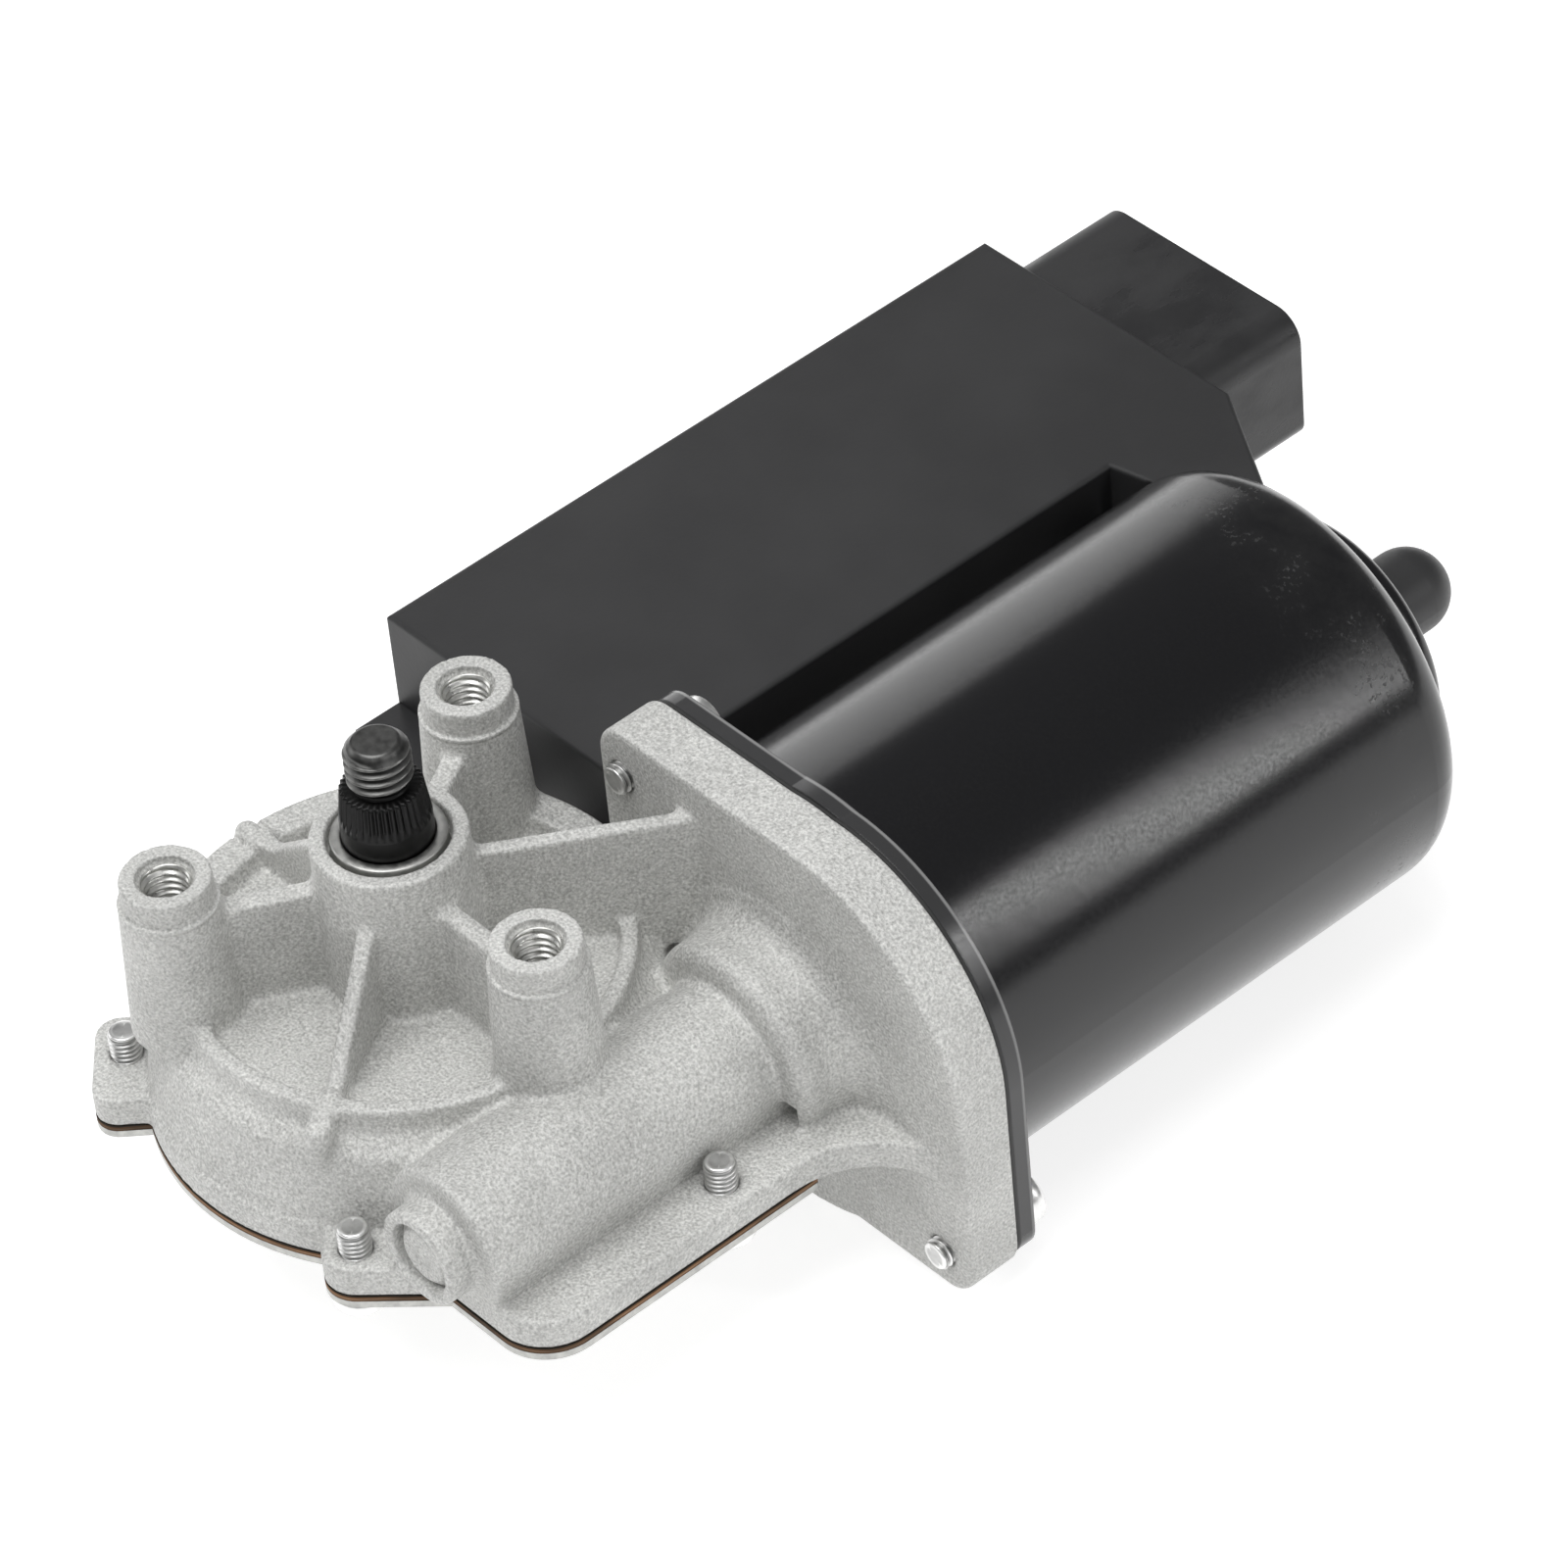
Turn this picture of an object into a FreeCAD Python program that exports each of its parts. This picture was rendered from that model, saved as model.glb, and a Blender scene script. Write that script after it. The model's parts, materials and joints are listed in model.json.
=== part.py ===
import FreeCAD, Part
import Sketcher
import math
import os

V = FreeCAD.Vector
DOC = FreeCAD.newDocument("wiper_motor")
SHEET = DOC.addObject("Spreadsheet::Sheet", "Sizes")

# Driving dimensions in millimetres and degrees.
# The origin is on the output shaft, in the plane of the three mounting bosses.
# +Z runs out along the output shaft, +Y from the gearbox to the motor can.
DRIVING = {
    # Clearances shared by everything that fits together
    "running_clearance": 0.04,
    "end_float": 0.06,
    "part_gap": 0.3,
    # Output shaft
    "shaft_radius": 5.48,
    "shaft_foot": -32.9,
    "band_height": 3.0,
    "knurl_length": 4.7,
    "knurl_tip_radius": 4.95,
    "relief_radius": 3.2,
    "relief_length": 0.8,
    "thread_radius": 4.0,
    "thread_length": 5.85,
    "thread_tip_radius": 2.95,
    "seal_radius": 4.5,
    "seal_depth": 3.6,
    "seal_length": 1.4,
    # Hub and bushes
    "hub_radius": 9.4,
    "hub_draft": 0.5,
    "hub_mouth_radius": 7.4,
    "hub_mouth_depth": 0.8,
    "bush_radius": 7.1,
    "bush_length": 10.0,
    "bush_stand": 0.15,
    # Mounting bosses
    "boss_count": 3,
    "boss_circle": 26.25,
    "boss_top_radius": 5.5,
    "boss_step": 3.4,
    "boss_ring_radius": 6.0,
    "boss_foot_radius": 6.9,
    "boss_hole_radius": 3.0,
    "boss_hole_depth": 14.0,
    # Gear housing shell
    "gear_side_clearance": 1.9,
    "housing_wall": 2.85,
    "lip_ledge": 0.65,
    "lip_top": -32.9,
    "lip_thickness": 4.1,
    "deck_height": -20.4,
    "deck_dish": 0.4,
    "deck_radius": 24.9,
    "deck_roll": 2.7,
    "deck_roll_drop": 0.8,
    "crease_inset": 2.25,
    "crease_height": -23.8,
    "deck_wall": 2.6,
    "chamber_draft": 0.2,
    "chamber_roof_radius": 23.5,
    "chamber_shoulder": -25.0,
    "chamber_shoulder_inset": 1.3,
    "roof_hub_radius": 10.5,
    "roof_hub_length": 1.2,
    # Ribs on the deck
    "ring_width": 2.2,
    "ring_height": -18.4,
    "land_inside": 25.9,
    "land_outside": 30.3,
    "land_foot": 24.6,
    "web_width": 2.1,
    "web_height": -4.7,
    "web_angle": 57.0,
    "link_width": 2.8,
    "link_height": -6.0,
    "gusset_width": 2.2,
    "gusset_height": -6.3,
    "gusset_reach": 29.8,
    "toe_reach": 29.7,
    "toe_width": 3.1,
    "front_toe_drop": 0.8,
    "left_toe_rise": 1.0,
    # Rim ears and cover screws
    "screw_radius": 2.0,
    "screw_clearance": 0.2,
    "screw_stand": 3.4,
    "screw_head_radius": 3.6,
    "screw_head_height": 2.4,
    "ear_radius": 4.1,
    "ear_clearance": 0.55,
    "left_ear_angle": 229.5,
    "left_ear_half_width": 7.4,
    "left_ear_reach": 38.8,
    "left_ear_corner": 3.0,
    "left_screw_angle": 227.5,
    "rear_screw_angle": 152.0,
    "front_screw_angle": 308.0,
    "side_screw_inset": 4.4,
    "side_screw_y": 9.0,
    # Worm tunnel, measured from the motor axis and along +Y
    "worm_height": -27.9,
    "tunnel_radius": 9.5,
    "tunnel_bore": 7.3,
    "tunnel_front": -22.6,
    "bell_front": 20.6,
    "bell_radius": 13.5,
    "bell_edge": 2.2,
    "bell_flare": 3.4,
    "rim_side": 16.0,
    "rim_corner": 7.0,
    "shelf_flare": 13.1,
    "cover_tongue_end": 19.6,
    "nose_radius": 6.2,
    "nose_length": 4.0,
    "nose_bush_radius": 4.6,
    "nose_bush_length": 6.0,
    "nose_bush_rear": -13.0,
    "plug_recess": 0.7,
    # Motor flange, measured from the motor axis
    "flange_front": 29.2,
    "flange_thickness": 7.6,
    "flange_left": 29.6,
    "flange_right": 30.9,
    "flange_above": 28.4,
    "flange_below": 26.6,
    "flange_disc_radius": 28.6,
    "flange_round": 26.0,
    "flange_corner": 4.6,
    "flange_screw_x": 25.8,
    "flange_screw_z": 21.4,
    "flange_screw_stand": 1.2,
    "flange_head_radius": 3.6,
    "flange_head_height": 3.4,
    "bearing_radius": 11.0,
    "bearing_width": 7.0,
    "bearing_front": 28.0,
    "bearing_ring": 1.85,
    "bearing_ball_count": 8,
    # Gasket and bottom cover
    "gasket_thickness": 0.7,
    "can_gasket_thickness": 0.5,
    "cover_thickness": 1.0,
    "cover_dish_radius": 24.0,
    "cover_dish_depth": 1.4,
    "cover_dish_slope": 2.5,
    # Motor can
    "can_radius": 28.4,
    "can_wall": 1.6,
    "can_plate": 2.3,
    "can_plate_inset": 0.3,
    "can_shoulder_radius": 6.0,
    "can_end": 115.5,
    "cup_radius": 18.2,
    "cup_depth": 5.9,
    "cup_edge_radius": 2.0,
    "dome_radius": 5.6,
    "dome_length": 16.7,
    # Magnets
    "magnet_thickness": 5.6,
    "magnet_start": 62.0,
    "magnet_length": 44.0,
    "magnet_angle": 124.0,
    "clip_width": 6.0,
    "clip_thickness": 0.8,
    # Armature
    "air_gap": 0.5,
    "core_start": 64.0,
    "core_length": 38.0,
    "slot_count": 12,
    "slot_width": 3.4,
    "slot_mouth": 1.6,
    "slot_floor": 11.5,
    "slot_lip": 1.8,
    "winding_clearance": 0.2,
    "winding_front_length": 3.4,
    "winding_rear_length": 4.6,
    "winding_inner_radius": 6.5,
    "winding_round": 1.6,
    "rotor_radius": 4.0,
    "rotor_front": -19.8,
    "journal_radius": 3.0,
    "journal_length": 7.4,
    "rear_journal_radius": 3.4,
    "rear_journal_start": 107.0,
    "commutator_radius": 9.2,
    "commutator_start": 47.0,
    "commutator_length": 12.0,
    "commutator_groove": 0.6,
    "commutator_groove_depth": 1.2,
    "commutator_riser": 0.8,
    "commutator_riser_length": 2.5,
    # Worm and worm wheel
    "gear_module": 1.0,
    "gear_teeth": 53,
    "worm_radius": 5.9,
    "worm_turns_each_side": 3,
    "worm_thread_width": 1.2,
    "gear_gap_width": 1.82,
    "tooth_flank_angle": 20.0,
    "gear_above_axis": 2.8,
    "gear_below_axis": 3.7,
    "gear_rim": 4.2,
    "gear_web": 2.8,
    "gear_chamfer": 0.6,
    "gear_hub_radius": 9.5,
    "washer_thickness": 0.6,
    # Park contacts under the wheel
    "park_disc_inner": 11.0,
    "park_disc_outer": 19.5,
    "park_disc_thickness": 0.5,
    "park_notch_angle": 40.0,
    "park_carrier_thickness": 2.0,
    "park_carrier_width": 17.0,
    "finger_width": 2.2,
    "finger_pitch": 4.0,
    "finger_thickness": 0.4,
    # Brush gear
    "brush_plate_front": 41.0,
    "brush_plate_thickness": 4.0,
    "brush_plate_bore": 11.5,
    "brush_plate_clearance": 0.3,
    "brush_plate_post": 3.0,
    "brush_width": 5.0,
    "brush_height": 6.0,
    "brush_length": 8.0,
    "brush_contact_gap": 0.1,
    "holder_wall": 0.8,
    "holder_outer": 23.6,
    "holder_inner": 11.6,
    "spring_wire": 0.7,
    "spring_turns": 3,
    "choke_radius": 2.4,
    "choke_length": 9.0,
    "choke_place": 20.5,
    # Rear bearing
    "rear_bush_radius": 7.5,
    "rear_bush_length": 11.0,
    "retainer_thickness": 0.7,
    "thrust_ball_radius": 2.0,
    # Electronics box
    "box_left": -42.4,
    "box_right": 1.6,
    "box_front": 33.0,
    "box_rear": 132.5,
    "box_top": -13.0,
    "box_split": -27.2,
    "box_wall": 2.0,
    "box_edge": 0.6,
    "step_y": 112.6,
    "step_x": 7.8,
    "step_drop": 1.4,
    "wing_x": 20.4,
    "wing_y": 121.7,
    "chamfer_x": 2.2,
    "tongue_length": 7.0,
    "tongue_width": 18.0,
    "lug_radius": 5.0,
    "lug_inset": 6.6,
    "left_lug_x": -31.0,
    "right_lug_x": -9.0,
    "board_thickness": 1.6,
    "board_height": -26.4,
    "board_clearance": 0.6,
    "relay_width": 15.0,
    "relay_length": 19.0,
    "relay_height": 8.6,
    # Connector shroud
    "shroud_left": -38.2,
    "shroud_right": -2.6,
    "shroud_top": -14.1,
    "shroud_bottom": -33.4,
    "shroud_length": 17.0,
    "shroud_depth": 13.5,
    "shroud_wall": 1.8,
    "shroud_corner": 4.0,
    "shroud_foot_corner": 2.5,
    "blade_count": 5,
    "blade_width": 2.8,
    "blade_thickness": 0.8,
    "blade_reach": 9.0,
    "blade_tail": 8.6,
    "blade_pitch": 5.6,
}


class Size:
    """A length that carries its sheet formula together with its value."""

    def __init__(self, text, value):
        self.text = text
        self.value = float(value)

    def join(self, sign, other, value):
        return Size("(%s %s %s)" % (self.text, sign, other.text), value)

    def __add__(self, other):
        other = size(other)
        return self.join("+", other, self.value + other.value)

    def __sub__(self, other):
        other = size(other)
        return self.join("-", other, self.value - other.value)

    def __mul__(self, other):
        other = size(other)
        return self.join("*", other, self.value * other.value)

    def __truediv__(self, other):
        other = size(other)
        return self.join("/", other, self.value / other.value)

    def __radd__(self, other):
        return size(other) + self

    def __rsub__(self, other):
        return size(other) - self

    def __rmul__(self, other):
        return size(other) * self

    def __neg__(self):
        return size(0) - self

    def apply(self, function, value, unit=""):
        return Size("%s(%s%s)" % (function, self.text, unit), value)

    def whole(self):
        return self.apply("floor", math.floor(self.value))

    def root(self):
        return self.apply("sqrt", math.sqrt(self.value))

    def cos(self):
        return self.apply("cos", math.cos(math.radians(self.value)), " * 1 deg")

    def sin(self):
        return self.apply("sin", math.sin(math.radians(self.value)), " * 1 deg")

    def tan(self):
        return self.apply("tan", math.tan(math.radians(self.value)), " * 1 deg")


def size(item):
    if isinstance(item, Size):
        return item
    return Size("(%r)" % float(item), item)


class Sheet:
    """Reads a driving dimension by its name."""

    def __getattr__(self, alias):
        return Size("Sizes." + alias, DRIVING[alias])


def fill_sheet():
    for row, (alias, value) in enumerate(DRIVING.items(), start=1):
        SHEET.set("A%d" % row, alias.replace("_", " "))
        SHEET.set("B%d" % row, str(value))
        SHEET.setAlias("B%d" % row, alias)
    DOC.recompute()


fill_sheet()
S = Sheet()
ZERO = size(0)

# Places and radii that follow from the driving dimensions
GEAR_RADIUS = S.gear_module * S.gear_teeth.whole() / 2
GEAR_TIP = GEAR_RADIUS + S.gear_module
AXIS_X = GEAR_RADIUS + S.worm_radius
AXIS_Z = S.worm_height
ON_AXIS = (AXIS_X, ZERO, AXIS_Z)
CHAMBER_RADIUS = GEAR_TIP + S.gear_side_clearance
WALL_RADIUS = CHAMBER_RADIUS + S.housing_wall
LIP_RADIUS = WALL_RADIUS + S.lip_ledge
LIP_BOTTOM = S.lip_top - S.lip_thickness
EAR_CIRCLE = WALL_RADIUS + S.screw_radius + S.ear_clearance
CHAMBER_ROOF = S.deck_height - S.deck_wall
ROOF_HUB_END = CHAMBER_ROOF - S.roof_hub_length
GASKET_BOTTOM = LIP_BOTTOM - S.gasket_thickness
COVER_BOTTOM = GASKET_BOTTOM - S.cover_thickness
RIM_RIGHT = AXIS_X + S.rim_side
NOSE_FACE = S.tunnel_front - S.nose_length
FLANGE_REAR = S.flange_front + S.flange_thickness
PLATE_FRONT = FLANGE_REAR + S.can_gasket_thickness
PLATE_REAR = PLATE_FRONT + S.can_plate
BEARING_REAR = S.bearing_front + S.bearing_width
SHAFT_TAPER_END = S.band_height + S.knurl_length
THREAD_START = SHAFT_TAPER_END + S.relief_length
SHAFT_END = THREAD_START + S.thread_length
WASHER_TOP = ROOF_HUB_END - S.end_float
WASHER_BOTTOM = WASHER_TOP - S.washer_thickness
GEAR_BOTTOM = AXIS_Z - S.gear_below_axis
PARK_DISC_BOTTOM = GEAR_BOTTOM - S.park_disc_thickness
DISH_FLOOR = GASKET_BOTTOM - S.cover_dish_depth
CARRIER_TOP = DISH_FLOOR + S.park_carrier_thickness
WORM_LEAD = S.gear_module * math.pi
LEAD_SLOPE = S.gear_module / S.worm_radius / 2
WORM_TIP = S.worm_radius + S.gear_module
WORM_ROOT = S.worm_radius - S.gear_module * 1.2
CAN_INNER = S.can_radius - S.can_wall
DOME_END = S.can_end + S.cup_depth + S.dome_length
ROTOR_REAR = DOME_END - S.can_wall - S.end_float - S.thrust_ball_radius * 2
CORE_END = S.core_start + S.core_length
CORE_RADIUS = CAN_INNER - S.magnet_thickness - S.air_gap
BRUSH_PLATE_REAR = S.brush_plate_front + S.brush_plate_thickness
BRUSH_FRONT = BRUSH_PLATE_REAR + S.holder_wall + S.running_clearance
BRUSH_REAR = BRUSH_FRONT + S.brush_width
BRUSH_INNER = S.commutator_radius + S.brush_contact_gap
BRUSH_OUTER = BRUSH_INNER + S.brush_length
BOX_BOTTOM = S.lip_top
BOARD_TOP = S.board_height + S.board_thickness
SHROUD_FLOOR = S.box_rear + S.shroud_length - S.shroud_depth

BRUSH_ANGLES = {"common": 90, "low_speed": 210, "high_speed": 330}
POST_ANGLES = (30, 150, 270)
DIAGONAL = math.sqrt(0.5)
LOWER_LEFT, LOWER_RIGHT, UPPER_RIGHT, UPPER_LEFT = range(4)
ALONG_Y = FreeCAD.Rotation(V(1, 0, 0), -90)
NEAR = 1e-4


# Small builders, each bound to the sheet

def bind(item, prop, amount):
    item.setExpression(prop, size(amount).text)


def place(item, at=(0, 0, 0), rotation=None):
    spot = V(*[size(c).value for c in at])
    item.Placement = FreeCAD.Placement(spot, rotation or FreeCAD.Rotation())
    for axis, amount in zip("xyz", at):
        if isinstance(amount, Size):
            bind(item, "Placement.Base." + axis, amount)
    return item


def turn(item, angle, axis=V(0, 0, 1)):
    """Turns a piece about an axis through its own origin."""
    item.Placement = FreeCAD.Placement(
        item.Placement.Base, FreeCAD.Rotation(axis, size(angle).value))
    item.setExpression("Placement.Rotation.Angle", "%s * 1 deg" % size(angle).text)
    return item


def cylinder(name, radius, low, high, at=(0, 0)):
    """A cylinder along Z between two heights."""
    item = DOC.addObject("Part::Cylinder", name)
    bind(item, "Radius", radius)
    bind(item, "Height", size(high) - low)
    return place(item, (at[0], at[1], low))


def cylinder_y(name, radius, front, rear, at):
    """A cylinder along Y between two stations, at (x, z)."""
    item = DOC.addObject("Part::Cylinder", name)
    bind(item, "Radius", radius)
    bind(item, "Height", size(rear) - front)
    return place(item, (at[0], front, at[1]), ALONG_Y)


def cone(name, low_radius, high_radius, low, high, at=(0, 0)):
    item = DOC.addObject("Part::Cone", name)
    bind(item, "Radius1", low_radius)
    bind(item, "Radius2", high_radius)
    bind(item, "Height", size(high) - low)
    return place(item, (at[0], at[1], low))


def sphere(name, radius, at):
    item = DOC.addObject("Part::Sphere", name)
    bind(item, "Radius", radius)
    return place(item, at)


def block(name, low, high):
    item = DOC.addObject("Part::Box", name)
    for prop, first, last in zip(("Length", "Width", "Height"), low, high):
        bind(item, prop, size(last) - first)
    return place(item, low)


def fuse(name, shapes):
    item = DOC.addObject("Part::MultiFuse", name)
    item.Shapes = shapes
    item.Refine = True
    return item


def cut(name, base, tools):
    item = DOC.addObject("Part::Cut", name)
    item.Base = base
    item.Tool = tools[0] if len(tools) == 1 else fuse(name + "_tools", tools)
    item.Refine = True
    return item


def group(name, shapes):
    """Separate solids kept together in one node."""
    item = DOC.addObject("Part::Compound", name)
    item.Links = shapes
    return item


def new_body(name, at=(0, 0, 0)):
    return place(DOC.addObject("PartDesign::Body", name), at)


def origin_item(body, role):
    return [item for item in body.Origin.OriginFeatures if item.Role == role][0]


def outline(body, name, role, points):
    """A closed sketch of straight edges whose corners are bound to the sheet."""
    sketch = body.newObject("Sketcher::SketchObject", name)
    sketch.AttachmentSupport = [(origin_item(body, role), "")]
    sketch.MapMode = "FlatFace"
    corners = [V(size(x).value, size(y).value, 0) for x, y in points]
    count = len(corners)
    for i in range(count):
        sketch.addGeometry(Part.LineSegment(corners[i], corners[(i + 1) % count]), False)
    for i in range(count):
        sketch.addConstraint(Sketcher.Constraint("Coincident", i, 2, (i + 1) % count, 1))
    for i, (x, y) in enumerate(points):
        for kind, amount in (("DistanceX", x), ("DistanceY", y)):
            constraint = Sketcher.Constraint(kind, -1, 1, i, 1, size(amount).value)
            index = sketch.addConstraint(constraint)
            sketch.setExpression("Constraints[%d]" % index, size(amount).text)
    return sketch


def pad(body, sketch, length, reverse=False, middle=False):
    feature = body.newObject("PartDesign::Pad", sketch.Name + "_pad")
    feature.Profile = sketch
    bind(feature, "Length", length)
    feature.Reversed = reverse
    feature.Midplane = middle
    return feature


def cut_through(body, sketch):
    DOC.recompute()
    feature = body.newObject("PartDesign::Pocket", sketch.Name + "_pocket")
    feature.Profile = sketch
    feature.Type = "ThroughAll"
    feature.Midplane = True
    return feature


def revolve(body, sketch, angle=None):
    feature = body.newObject("PartDesign::Revolution", sketch.Name + "_turned")
    feature.Profile = sketch
    feature.ReferenceAxis = (sketch, ["V_Axis"])
    feature.Angle = 360
    if angle is not None:
        feature.setExpression("Angle", "%s * 1 deg" % angle.text)
    return feature


def repeat(body, feature, axis_role, count):
    """Repeats a feature evenly about one of the body's own axes."""
    copies = body.newObject("PartDesign::PolarPattern", feature.Name + "_pattern")
    copies.Originals = [feature]
    copies.Axis = (origin_item(body, axis_role), [""])
    copies.Angle = 360
    bind(copies, "Occurrences", count)
    body.Tip = copies
    return copies


def soften(body, feature, radius, chosen):
    """Rounds the edges of a feature that chosen(edge) picks."""
    DOC.recompute()
    names = ["Edge%d" % i for i, edge in enumerate(feature.Shape.Edges, start=1) if chosen(edge)]
    fillet = body.newObject("PartDesign::Fillet", feature.Name + "_round")
    fillet.Base = (feature, names)
    bind(fillet, "Radius", radius)
    return fillet


def ends(edge):
    return edge.Vertexes[0].Point, edge.Vertexes[-1].Point


def turned(name, points, at=(0, 0, 0)):
    """A piece turned about Z from (radius, height) points."""
    body = new_body(name, at)
    revolve(body, outline(body, name + "_profile", "XZ_Plane", points))
    return body


def turned_y(name, points, at=ON_AXIS):
    """A piece turned about the motor axis from (radius, station) points."""
    body = new_body(name, at)
    revolve(body, outline(body, name + "_profile", "XY_Plane", points))
    return body


def tube(name, inner, outer, low, high):
    return turned(name, [(inner, low), (outer, low), (outer, high), (inner, high)])


def tube_y(name, inner, outer, front, rear):
    return turned_y(name, [(inner, front), (outer, front), (outer, rear), (inner, rear)])


def upright(name, left, right, bottom, top, front, depth, corners):
    """A block along Y whose long edges are rounded, corner by corner."""
    body = new_body(name, (0, front, 0))
    points = [(left, bottom), (right, bottom), (right, top), (left, top)]
    sketch = outline(body, name + "_outline", "XZ_Plane", points)
    feature = pad(body, sketch, depth, reverse=True)
    for radius, picked in corners:
        spots = [(size(points[i][0]).value, size(points[i][1]).value) for i in picked]

        def at_corner(edge):
            start, end = ends(edge)
            long_way = abs(start.y - end.y) > NEAR
            return long_way and any(math.hypot(p.x - x, p.z - z) < NEAR
                                    for x, z in spots for p in (start,))

        feature = soften(body, feature, radius, at_corner)
    return body


def on_circle(radius, angle):
    """Plan place at an angle round the output shaft."""
    return size(radius) * size(angle).cos(), size(radius) * size(angle).sin()


NODES = []


def common(name, shapes):
    item = DOC.addObject("Part::MultiCommon", name)
    item.Shapes = shapes
    return item


def node(name, item):
    item.Label = name
    NODES.append(item)


# Places shared between pieces

def cover_screw_places():
    rim = [on_circle(EAR_CIRCLE, angle)
           for angle in (S.left_screw_angle, S.rear_screw_angle, S.front_screw_angle)]
    return rim + [(RIM_RIGHT - S.side_screw_inset, S.side_screw_y)]


def flange_screw_places():
    return [(AXIS_X - S.flange_screw_x, AXIS_Z + S.flange_screw_z),
            (AXIS_X + S.flange_screw_x, AXIS_Z - S.flange_screw_z)]


def box_lug_places():
    lug_y = S.box_front + S.lug_inset
    return [(S.left_lug_x, lug_y), (S.right_lug_x, lug_y)]


def boss_angles():
    return [size(360 * i) / S.boss_count for i in range(int(DRIVING["boss_count"]))]


def screw_up(name, at, head_top, tip):
    """A pan-head screw driven upwards."""
    head = cylinder(name + "_head", S.screw_head_radius, head_top - S.screw_head_height,
                    head_top, at)
    shank = cylinder(name + "_shank", S.screw_radius, head_top, tip, at)
    return fuse(name, [head, shank])


# Rim of the gearbox, shared by housing, gasket and bottom cover

def wide_ear(tag, low, high):
    """The broad ear beside the left boss, square with two rounded corners."""
    body = new_body(tag + "_wide_ear", (0, 0, low))
    half = S.left_ear_half_width
    sketch = outline(body, tag + "_wide_ear_outline", "XY_Plane", [
        (S.deck_radius, -half), (S.left_ear_reach, -half),
        (S.left_ear_reach, half), (S.deck_radius, half)])
    feature = pad(body, sketch, size(high) - low)
    reach = S.left_ear_reach.value

    def outer_corner(edge):
        start, end = ends(edge)
        return abs(start.x - reach) < NEAR and abs(start.z - end.z) > NEAR

    soften(body, feature, S.left_ear_corner, outer_corner)
    return turn(body, S.left_ear_angle)


def rim_tongue(tag, low, high, tongue_end):
    """The part of the rim under the worm tunnel, slanting in to the front ear."""
    body = new_body(tag + "_tongue", (0, 0, low))
    ear_x, ear_y = cover_screw_places()[2]
    tangent_x = ear_x + S.ear_radius * DIAGONAL
    tangent_y = ear_y - S.ear_radius * DIAGONAL
    slant_x = tangent_x + S.tunnel_front - tangent_y
    sketch = outline(body, tag + "_tongue_outline", "XY_Plane", [
        (ear_x, ear_y), (tangent_x, tangent_y), (slant_x, S.tunnel_front),
        (RIM_RIGHT, S.tunnel_front), (RIM_RIGHT, tongue_end), (ear_x, tongue_end)])
    feature = pad(body, sketch, size(high) - low)

    def front_corner(edge):
        return all(math.hypot(p.x - RIM_RIGHT.value, p.y - S.tunnel_front.value) < NEAR
                   for p in ends(edge))

    soften(body, feature, S.rim_corner, front_corner)
    return body


def rim_plate(tag, low, high, tongue_end):
    disc = cylinder(tag + "_disc", LIP_RADIUS, low, high)
    ears = [cylinder("%s_ear_%d" % (tag, i), S.ear_radius, low, high, at)
            for i, at in enumerate(cover_screw_places()[1:3])]
    pieces = [disc, wide_ear(tag, low, high), rim_tongue(tag, low, high, tongue_end)]
    return fuse(tag + "_rim", pieces + ears)


# Gear housing, one aluminium casting

def mounting_bosses():
    """Three stepped bosses on one circle, level with the hub."""
    pieces = []
    for i, angle in enumerate(boss_angles()):
        at = on_circle(S.boss_circle, angle)
        pieces.append(cylinder("boss_top_%d" % i, S.boss_top_radius, -S.boss_step, ZERO, at))
        pieces.append(cone("boss_%d" % i, S.boss_foot_radius, S.boss_ring_radius,
                           CHAMBER_ROOF, -S.boss_step, at))
    return pieces


def deck_rib(name, start, length, width, low, high, angle):
    """A straight rib standing on the deck along one direction from the shaft."""
    body = new_body(name)
    sketch = outline(body, name + "_side", "XZ_Plane", [
        (start, low), (start + length, low), (start + length, high), (start, high)])
    pad(body, sketch, width, middle=True)
    return turn(body, angle)


def gusset(name, angle, ridge):
    """A sloping rib from the hub down to the ring, running out over the deck edge."""
    body = new_body(name)
    root = S.hub_radius / 2
    ring_outside = S.boss_circle + S.ring_width
    ring_inside = S.boss_circle - S.ring_width
    sketch = outline(body, name + "_side", "XZ_Plane", [
        (root, CHAMBER_ROOF), (S.gusset_reach, S.crease_height),
        (S.gusset_reach, ridge - S.ring_width), (ring_outside, ridge),
        (ring_inside, ridge), (S.hub_radius, S.gusset_height), (root, S.gusset_height)])
    pad(body, sketch, S.gusset_width, middle=True)
    return turn(body, angle)


def gusset_toe(name, angle, high):
    """The broad rounded end of a gusset, outside the ring."""
    arm = deck_rib(name + "_arm", S.boss_circle, S.toe_reach - S.boss_circle, S.toe_width,
                   S.crease_height, high, angle)
    end = cylinder(name + "_end", S.toe_width / 2, S.crease_height, high,
                   on_circle(S.toe_reach, angle))
    return [arm, end]


def deck_ring():
    """The raised arc round the front of the deck, from the left boss to the web."""
    body = new_body("deck_ring")
    half = S.ring_width / 2
    start = boss_angles()[-1]
    sketch = outline(body, "deck_ring_section", "XZ_Plane", [
        (S.boss_circle - half, CHAMBER_ROOF), (S.boss_circle + half, CHAMBER_ROOF),
        (S.boss_circle + half, S.ring_height), (S.boss_circle - half, S.ring_height)])
    revolve(body, sketch, 360 + S.web_angle - start)
    return turn(body, start)


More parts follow.
